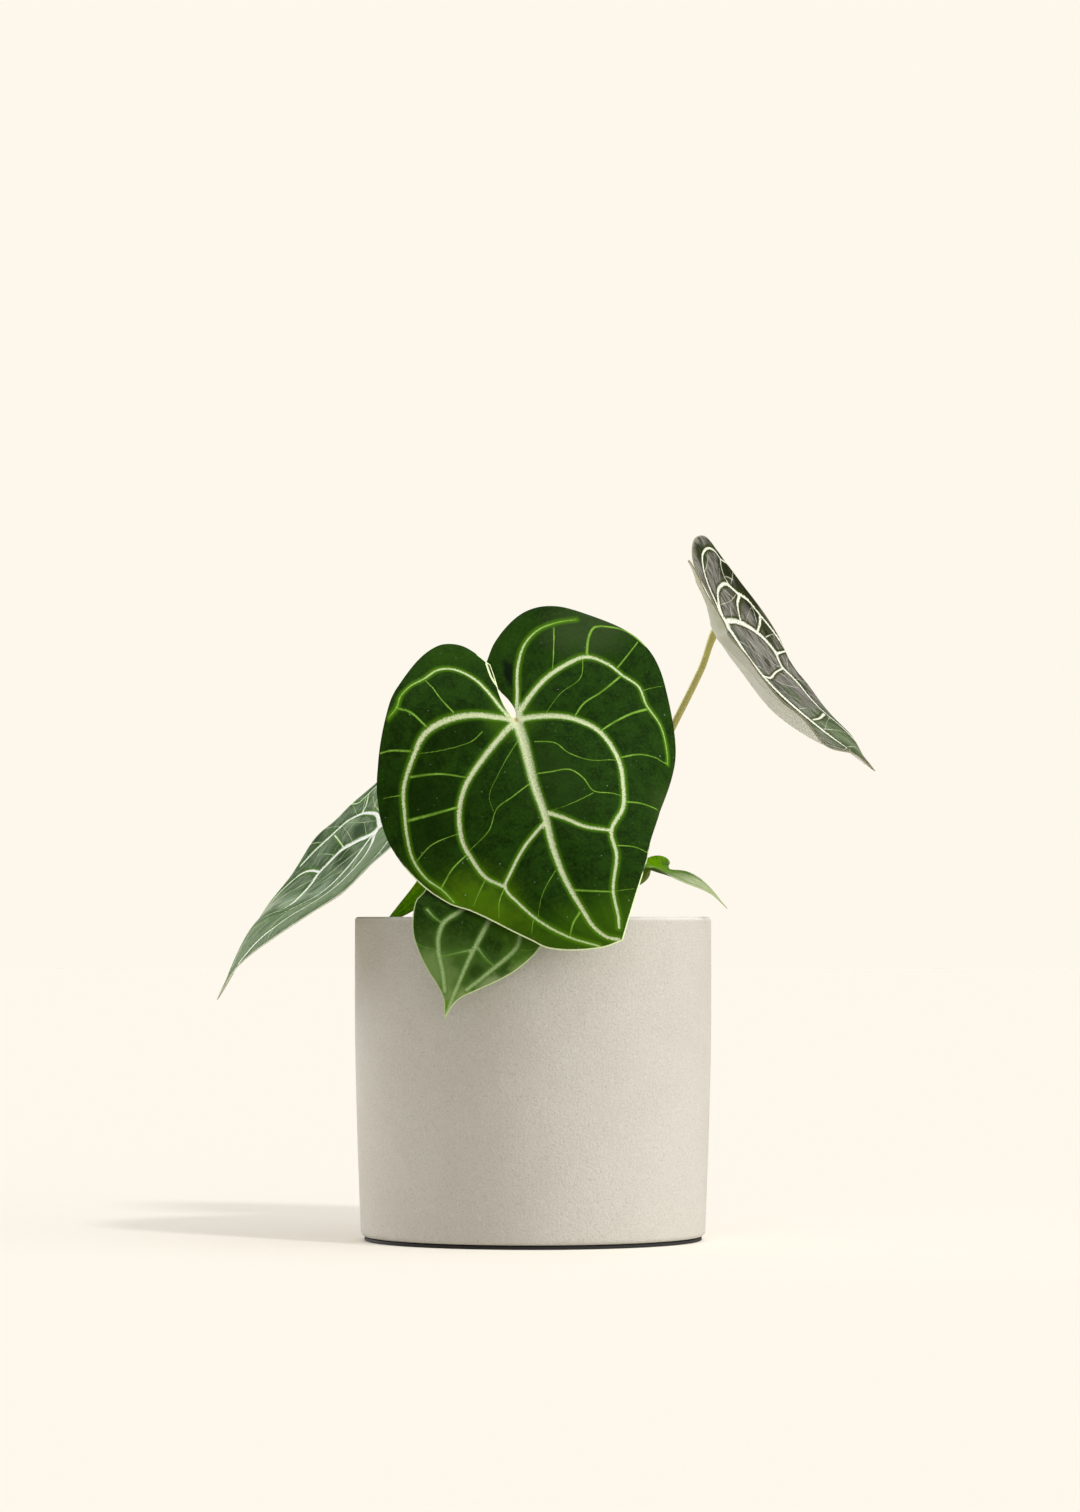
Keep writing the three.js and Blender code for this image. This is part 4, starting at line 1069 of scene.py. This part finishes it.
def speckled(name, dark, light, scale, depth, rough=0.9):
    """Bark, pumice, root or sheath: two tones, grained along the piece's own shape."""
    look = Look(name)
    where = look.place()
    big = look.noise(where, scale, 5, 0.65, 0.4)
    small = look.noise(where, scale * 5, 3, 0.6)
    colour = look.lay(srgb(*dark), srgb(*light), big, 0.32, 0.68)
    colour = look.lay(colour, srgb(*[v * 0.6 for v in dark]), small, 0.35, 0.8, 0, 0.5)
    height = look.plus(big, look.times(small, 0.5))
    return look.surface(Base_Color=colour, Roughness=rough, Normal=look.bump(height, depth, 0.8))


def plain_look(name, colour, glow=0.0):
    """The floor's or the backdrop's paint; a backdrop glows."""
    look = Look(name)
    if glow:
        shader = look.node("ShaderNodeEmission", {"Color": colour, "Strength": glow})
        look.node("ShaderNodeOutputMaterial", {"Surface": shader})
        return look.owner
    return look.surface(Base_Color=colour, Roughness=0.9, Specular_IOR_Level=0.0)


# ---- pot, pad, mix, crown --------------------------------------------------------------------
def quarter(r, z, radius, start, end):
    """Points of a quarter round about (r, z), from one angle to another."""
    turn = np.radians(np.linspace(start, end, 7))
    return list(zip(r + radius * np.cos(turn), z + radius * np.sin(turn)))


def lathe(name, profile, sides, material):
    """A closed solid of revolution from (radius, height) points that start and end on the axis."""
    body = profile[1:-1]
    points = np.concatenate(ring_points(body, sides) + [[[0, 0, profile[0][1]], [0, 0, profile[-1][1]]]])
    bands, foot, head = ring_faces(sides, len(body))
    return mesh_object(name, points, np.concatenate([foot, *bands, head]), [material])


def even(profile, step):
    """The same profile with no gap longer than step between points."""
    dense = [profile[0]]
    for p, q in zip(profile[:-1], profile[1:]):
        parts = max(1, math.ceil(math.dist(p, q) / step))
        for i in range(1, parts + 1):
            dense.append((p[0] + (q[0] - p[0]) * i / parts, p[1] + (q[1] - p[1]) * i / parts))
    return dense


def build_pot(material):
    bottom, inner, floor = POT["bottom"], POT["top"] - POT["wall"], POT["bottom"] + POT["floor"]
    foot, lip, corner = POT_ROUND["foot"], POT_ROUND["lip"], POT_ROUND["corner"]
    rim = POT["height"] - lip - GAP
    recess = bottom + 1.2
    profile = [
        (0, recess), (POT["base"] - 12, recess), (POT["base"] - 9, bottom),
        *quarter(POT["base"] - foot, bottom + foot, foot, -90, 0),
        *Curve(POT_WALL)(np.linspace(0, POT_WALL[-1][0], 24))[0],
        *quarter(POT["top"] - lip - GAP, rim, lip, 5, 90),
        *quarter(inner + lip, rim, lip, 90, 180),
        *quarter(inner - corner, floor + corner, corner, 0, -90),
        (0, floor),
    ]
    dress(lathe("pot_body", even(profile, 6), 144, material), "pot")


def build_pad(material):
    radius, turned, inset, top = PAD["radius"], PAD["round"], PAD["inset"], PAD["thickness"]
    profile = [
        (0, 0), (radius - GAP, 0),
        *quarter(radius, inset, turned, -90, 0), *quarter(radius, top - inset, turned, 0, 90),
        (0, top),
    ]
    dress(lathe("pad_disc", profile, 144, material), "base_pad")


def lump(rng, size, squash, knobs):
    """A rough closed pebble: an icosphere pushed about, as points and triangles."""
    points, faces = knobs
    rough = 1 + rng.uniform(-0.22, 0.22, len(points))
    made = points * rough[:, None] * size * squash
    spin = Vector(rng.uniform(-1, 1, 3)).normalized().to_track_quat("Z", "Y").to_matrix()
    return made @ np.array(spin).T, faces


def icosphere(levels):
    """The corners and triangles of a unit icosphere."""
    golden = (1 + 5**0.5) / 2
    corners = [
        (-1, golden, 0), (1, golden, 0), (-1, -golden, 0), (1, -golden, 0), (0, -1, golden), (0, 1, golden),
        (0, -1, -golden), (0, 1, -golden), (golden, 0, -1), (golden, 0, 1), (-golden, 0, -1), (-golden, 0, 1),
    ]
    points = [np.array(c) / np.linalg.norm(c) for c in corners]
    faces = [
        (0, 11, 5), (0, 5, 1), (0, 1, 7), (0, 7, 10), (0, 10, 11), (1, 5, 9), (5, 11, 4), (11, 10, 2),
        (10, 7, 6), (7, 1, 8), (3, 9, 4), (3, 4, 2), (3, 2, 6), (3, 6, 8), (3, 8, 9), (4, 9, 5),
        (2, 4, 11), (6, 2, 10), (8, 6, 7), (9, 8, 1),
    ]
    for _ in range(levels):
        middle = {}

        def between(i, j):
            key = (min(i, j), max(i, j))
            if key not in middle:
                middle[key] = len(points)
                centre = points[i] + points[j]
                points.append(centre / np.linalg.norm(centre))
            return middle[key]

        faces = [tri for a, b, c in faces for tri in (
            (a, between(a, b), between(c, a)), (b, between(b, c), between(a, b)),
            (c, between(c, a), between(b, c)), (between(a, b), between(b, c), between(c, a)))]
    return np.array(points), np.array(faces)


def scatter(name, count, size, squash, levels, height, material, rng):
    """Pebbles strewn over the mix, clear of the stem, joined into one piece."""
    knobs = icosphere(levels)
    clear = STEM["radius"] + 3
    points, faces, total = [], [], 0
    for _ in range(count):
        radius = math.sqrt(rng.uniform(0, 1)) * (SOIL["radius"] - 4)
        turn = rng.uniform(0, 2 * math.pi)
        if radius < clear:
            radius = clear + rng.uniform(0, 8)
        shape = np.array(squash) * rng.uniform(0.75, 1.25, 3)
        part, tri = lump(rng, rng.uniform(*size), shape, knobs)
        part = part + (radius * math.cos(turn), radius * math.sin(turn), height + rng.uniform(-1.0, 1.6))
        reach = np.hypot(part[:, 0], part[:, 1])
        part[:, :2] *= np.minimum(1, SOIL["radius"] / reach)[:, None]
        points.append(part)
        faces.append(tri + total)
        total += len(part)
    points, faces = np.concatenate(points), np.concatenate(faces)
    dress(mesh_object(name, points, faces, [material], smooth=levels > 1))


def read_points(made):
    """An object's points, rows of metres."""
    points = np.empty(len(made.data.vertices) * 3)
    made.data.vertices.foreach_get("co", points)
    return points.reshape(-1, 3)


def build_mix(rng):
    """A finely uneven bed, and chips, grains and moss strewn over it."""
    rings = 34
    radius, low, high = SOIL["radius"], SOIL["low"], SOIL["top"]
    profile = [(0, low), (radius - 7, low), (radius, low + 7)]
    profile += [(radius * (1 - k / rings), high) for k in range(rings)] + [(0, high)]
    bed = lathe("mix_bed", profile, 96, speckled("potting_mix", (52, 34, 22), (92, 64, 42), 260, 0.0012))
    points = read_points(bed)
    top = points[:, 2] > 0.1
    points[top, 2] += rng.uniform(-0.0014, 0.0012, top.sum())
    bed.data.vertices.foreach_set("co", points.ravel())
    dress(bed, "soil")
    bark = speckled("bark_chips", (84, 54, 34), (138, 98, 66), 300, 0.0008)
    dark_bark = speckled("dark_chips", (46, 32, 24), (84, 60, 44), 340, 0.0008)
    pumice = speckled("pumice", (206, 202, 192), (238, 235, 226), 500, 0.0005)
    moss = speckled("moss_bits", (84, 92, 40), (140, 138, 74), 700, 0.001)
    scatter("bark_light", 210, (2.6, 5.4), (1.25, 0.85, 0.5), 1, high, bark, rng)
    scatter("bark_dark", 230, (2.2, 4.6), (1.3, 0.8, 0.5), 1, high, dark_bark, rng)
    scatter("pumice_grains", 150, (1.2, 2.8), (1, 1, 0.85), 2, high + 0.6, pumice, rng)
    scatter("moss_tufts", 60, (1.2, 2.4), (1.4, 1, 0.5), 2, high + 0.8, moss, rng)


def build_crown(rng):
    """The short stem, its brown sheaths and the roots that leave it over the mix."""
    sheath = speckled("sheath_skin", (122, 112, 56), (164, 152, 86), 420, 0.0006, 0.6)
    paper = speckled("dry_sheath", (126, 96, 58), (178, 146, 98), 380, 0.0006, 0.8)
    root_skin = speckled("root_skin", (150, 128, 86), (196, 178, 130), 500, 0.0005, 0.75)
    side = Curve(STEM_SIDE)(np.linspace(0, STEM_SIDE[-1][0], 26))[0]
    foot = STEM["foot"]
    stem = lathe("stem_crown", [(0, foot), (STEM["foot_radius"], foot), *side, (0, STEM["top"])], 72, sheath)
    points = read_points(stem)
    angle = np.arctan2(points[:, 1], points[:, 0])
    ridge = 1 + 0.05 * np.sin(7 * angle + 90 * points[:, 2]) + 0.03 * np.sin(17 * angle)
    points[:, :2] *= ridge[:, None]
    stem.data.vertices.foreach_set("co", points.ravel())
    dress(stem, "crown")
    for i in range(7):
        turn = 2 * math.pi * i / 7 + rng.uniform(-0.3, 0.3)
        tall = rng.uniform(12, 24)
        dress(husk(f"husk_{i}", turn, tall, rng.uniform(6, 8.5), rng.uniform(1, 5), paper))
    for i in range(9):
        turn = 2 * math.pi * i / 9 + rng.uniform(-0.25, 0.25)
        far = rng.uniform(18, 34)
        way = np.array([math.cos(turn), math.sin(turn), 0])
        aside = np.array([-way[1], way[0], 0]) * rng.uniform(-6, 6)
        path = smooth_path([
            way * 7 + (0, 0, 121),
            way * 11 + (0, 0, 123.4),
            way * (far * 0.6) + aside * 0.5 + (0, 0, 122.6),
            way * far + aside + (0, 0, 119),
            way * (far + 4) + aside * 1.3 + (0, 0, 113),
        ], 1.0)
        share = np.linspace(0, 1, len(path))
        radii = 1.5 - 0.45 * share + 0.12 * np.sin(share * 23 + i)
        dress(sweep(f"root_{i}", path, radii, 14, root_skin))


def husk(name, turn, tall, wide, lean, material):
    """A dry pointed sheath: a thin curved strip round the stem's side, thick enough to be solid."""
    columns, rows = 12, 22
    across = columns + 1
    count = across * (rows + 1)
    points = []
    for skin in (0.0, 0.45):
        for j in range(rows + 1):
            t = j / rows
            width = wide * (1 - t**1.8) ** 0.6 * (0.9 + 0.2 * math.sin(3 * t))
            for i in range(across):
                s = 2 * i / columns - 1
                angle = turn + s * width / 11
                radius = 8.4 + skin + 0.9 * math.cos(s * 1.4) + lean * t * t + 0.25 * math.sin(9 * s + 5 * t)
                height = 114 + tall * t - 1.2 * s * s * t
                points.append((radius * math.cos(angle), radius * math.sin(angle), height))
    faces = []
    for j in range(rows):
        for i in range(columns):
            a = j * across + i
            b, c, d = a + 1, a + across + 1, a + across
            faces += [(a, c, b), (a, d, c)]
            faces += [(a + count, b + count, c + count), (a + count, c + count, d + count)]
    loop = [*range(across), *range(across + columns, count, across)]
    loop += [*range(count - 2, count - across - 1, -1), *range(count - 2 * across, 0, -across)]
    for p, q in zip(loop, loop[1:] + loop[:1]):
        faces += [(p, q, q + count), (p, q + count, p + count)]
    return mesh_object(name, np.array(points), np.array(faces), [material])


# ---- the object ------------------------------------------------------------------------------
rng = np.random.default_rng(11)
undersides = {kind: leaf_underside(f"{kind}_underside", tones) for kind, tones in UNDER_LOOKS.items()}
olive_stalk = petiole_look("petiole_skin", (160, 150, 62), (214, 206, 124))
green_stalk = petiole_look("young_petiole_skin", (120, 150, 30), (140, 176, 30))
for leaf_name, leaf in LEAVES.items():
    kind = leaf["look"]
    face = leaf_face(f"{leaf_name}_face", LEAF_LOOKS[leaf_name])
    build_leaf(leaf_name, leaf, [face, undersides[kind]], rng)
    build_petiole(leaf_name, leaf, green_stalk if kind == "fresh" else olive_stalk)
build_pot(stoneware_look())
build_pad(rubber_look())
build_mix(rng)
build_crown(rng)


# ---- stage, light, camera --------------------------------------------------------------------
# Linear colours of the floor, and of the backdrop, which only the camera sees.
CREAM = (0.94, 0.891, 0.797, 1.0)
BACK_CREAM = (0.991, 0.939, 0.839, 1.0)
FAR = 12000  # radius of the floor and of the backdrop dome, mm


def ring_sheet(name, rows, material):
    """A stage surface turned round the pot from (radius, height) points in millimetres."""
    sides = 96
    bands = ring_faces(sides, len(rows))[0]
    made = mesh_object(name, np.concatenate(ring_points(rows, sides)), np.concatenate(bands), [material])
    return made


floor_rows = [(FAR, 0), (3000, 0), (800, 0), (200, 0), (0.01, 0)]
floor = ring_sheet("studio_floor", floor_rows, plain_look("floor_paint", CREAM))
dome_rows = [(FAR * math.cos(a), FAR * math.sin(a) - 1) for a in np.linspace(0, 1.56, 24)]
dome = ring_sheet("studio_backdrop", dome_rows, plain_look("backdrop_paint", BACK_CREAM, glow=1.0))
for kind in ("diffuse", "glossy", "transmission", "volume_scatter", "shadow"):
    setattr(dome, f"visible_{kind}", False)


def direction(turn, rise):
    """The way to a light: turn degrees from the front towards the right, rise above the floor."""
    turn, rise = math.radians(turn), math.radians(rise)
    return Vector((math.sin(turn) * math.cos(rise), -math.cos(turn) * math.cos(rise), math.sin(rise)))


def lamp(name, turn, rise, angle, energy, on_floor=False, blockers=()):
    """A distant light for the floor alone or for all but it, shaded by all or by these blockers."""
    sun = bpy.data.lights.new(name, "SUN")
    sun.energy = energy
    sun.angle = math.radians(angle)
    made = bpy.data.objects.new(name, sun)
    back = direction(turn, rise)
    made.rotation_euler = (-back).to_track_quat("-Z", "Y").to_euler()
    made.location = back * 2
    bpy.context.scene.collection.objects.link(made)
    reach = bpy.data.collections.new(f"{name}_reach")
    reach.objects.link(floor)
    reach.collection_objects[0].light_linking.link_state = "INCLUDE" if on_floor else "EXCLUDE"
    made.light_linking.receiver_collection = reach
    if blockers:
        shade = bpy.data.collections.new(f"{name}_shade")
        for blocker in blockers:
            shade.objects.link(bpy.data.objects[blocker])
        made.light_linking.blocker_collection = shade
    return sun


def studio_light():
    """A soft sky, panels right and left back for the plant, a key that draws the floor's shadow."""
    look = Look("studio", "worlds")
    bpy.context.scene.world = look.owner
    way = look.node("ShaderNodeTexCoord", {}, "Generated")
    strength = 0.0
    for turn, rise, gain in ((45, 0, 1.16), (0, 90, 0.96)):
        toward = look.vector("DOT_PRODUCT", way, direction(turn, rise), output="Value")
        lobe = look.math("POWER", look.math("MAXIMUM", toward, 0.0), 2)
        strength = look.math("MULTIPLY_ADD", lobe, gain, strength)
    sky = look.node("ShaderNodeBackground", {"Color": (1, 1, 1, 1), "Strength": strength})
    look.node("ShaderNodeOutputWorld", {"Surface": sky})
    # turn, rise, apparent size in degrees, strength
    lamp("panel_right", 70, 14, 56, 1.95)
    lamp("panel_left", -122, 14, 56, 2.95)
    lamp("key", 82, 50, 12, 0.5)
    lamp("top", 0, 90, 50, 0.9)
    lamp("floor_key", 44, 39.3, 6, 0.88, on_floor=True, blockers=("pot_body", "leaf_tall_skin"))
    lamp("floor_fill", 0, 90, 8, 0.8, on_floor=True).use_shadow = False


studio_light()
# A long lens, shifted so that the plant stands in the frame as in the photograph.
camera = bpy.data.cameras.new("camera")
camera.sensor_width = 36
camera.lens = 130.15
camera.shift_x = 0.0046
camera.shift_y = 0.1062
camera.clip_end = 60
eye = bpy.data.objects.new("camera", camera)
eye.location = (0, -2.3, 0.136)
eye.rotation_euler = (math.pi / 2, 0, 0)
bpy.context.scene.collection.objects.link(eye)
bpy.context.scene.camera = eye
bpy.context.scene.view_settings.view_transform = "Standard"
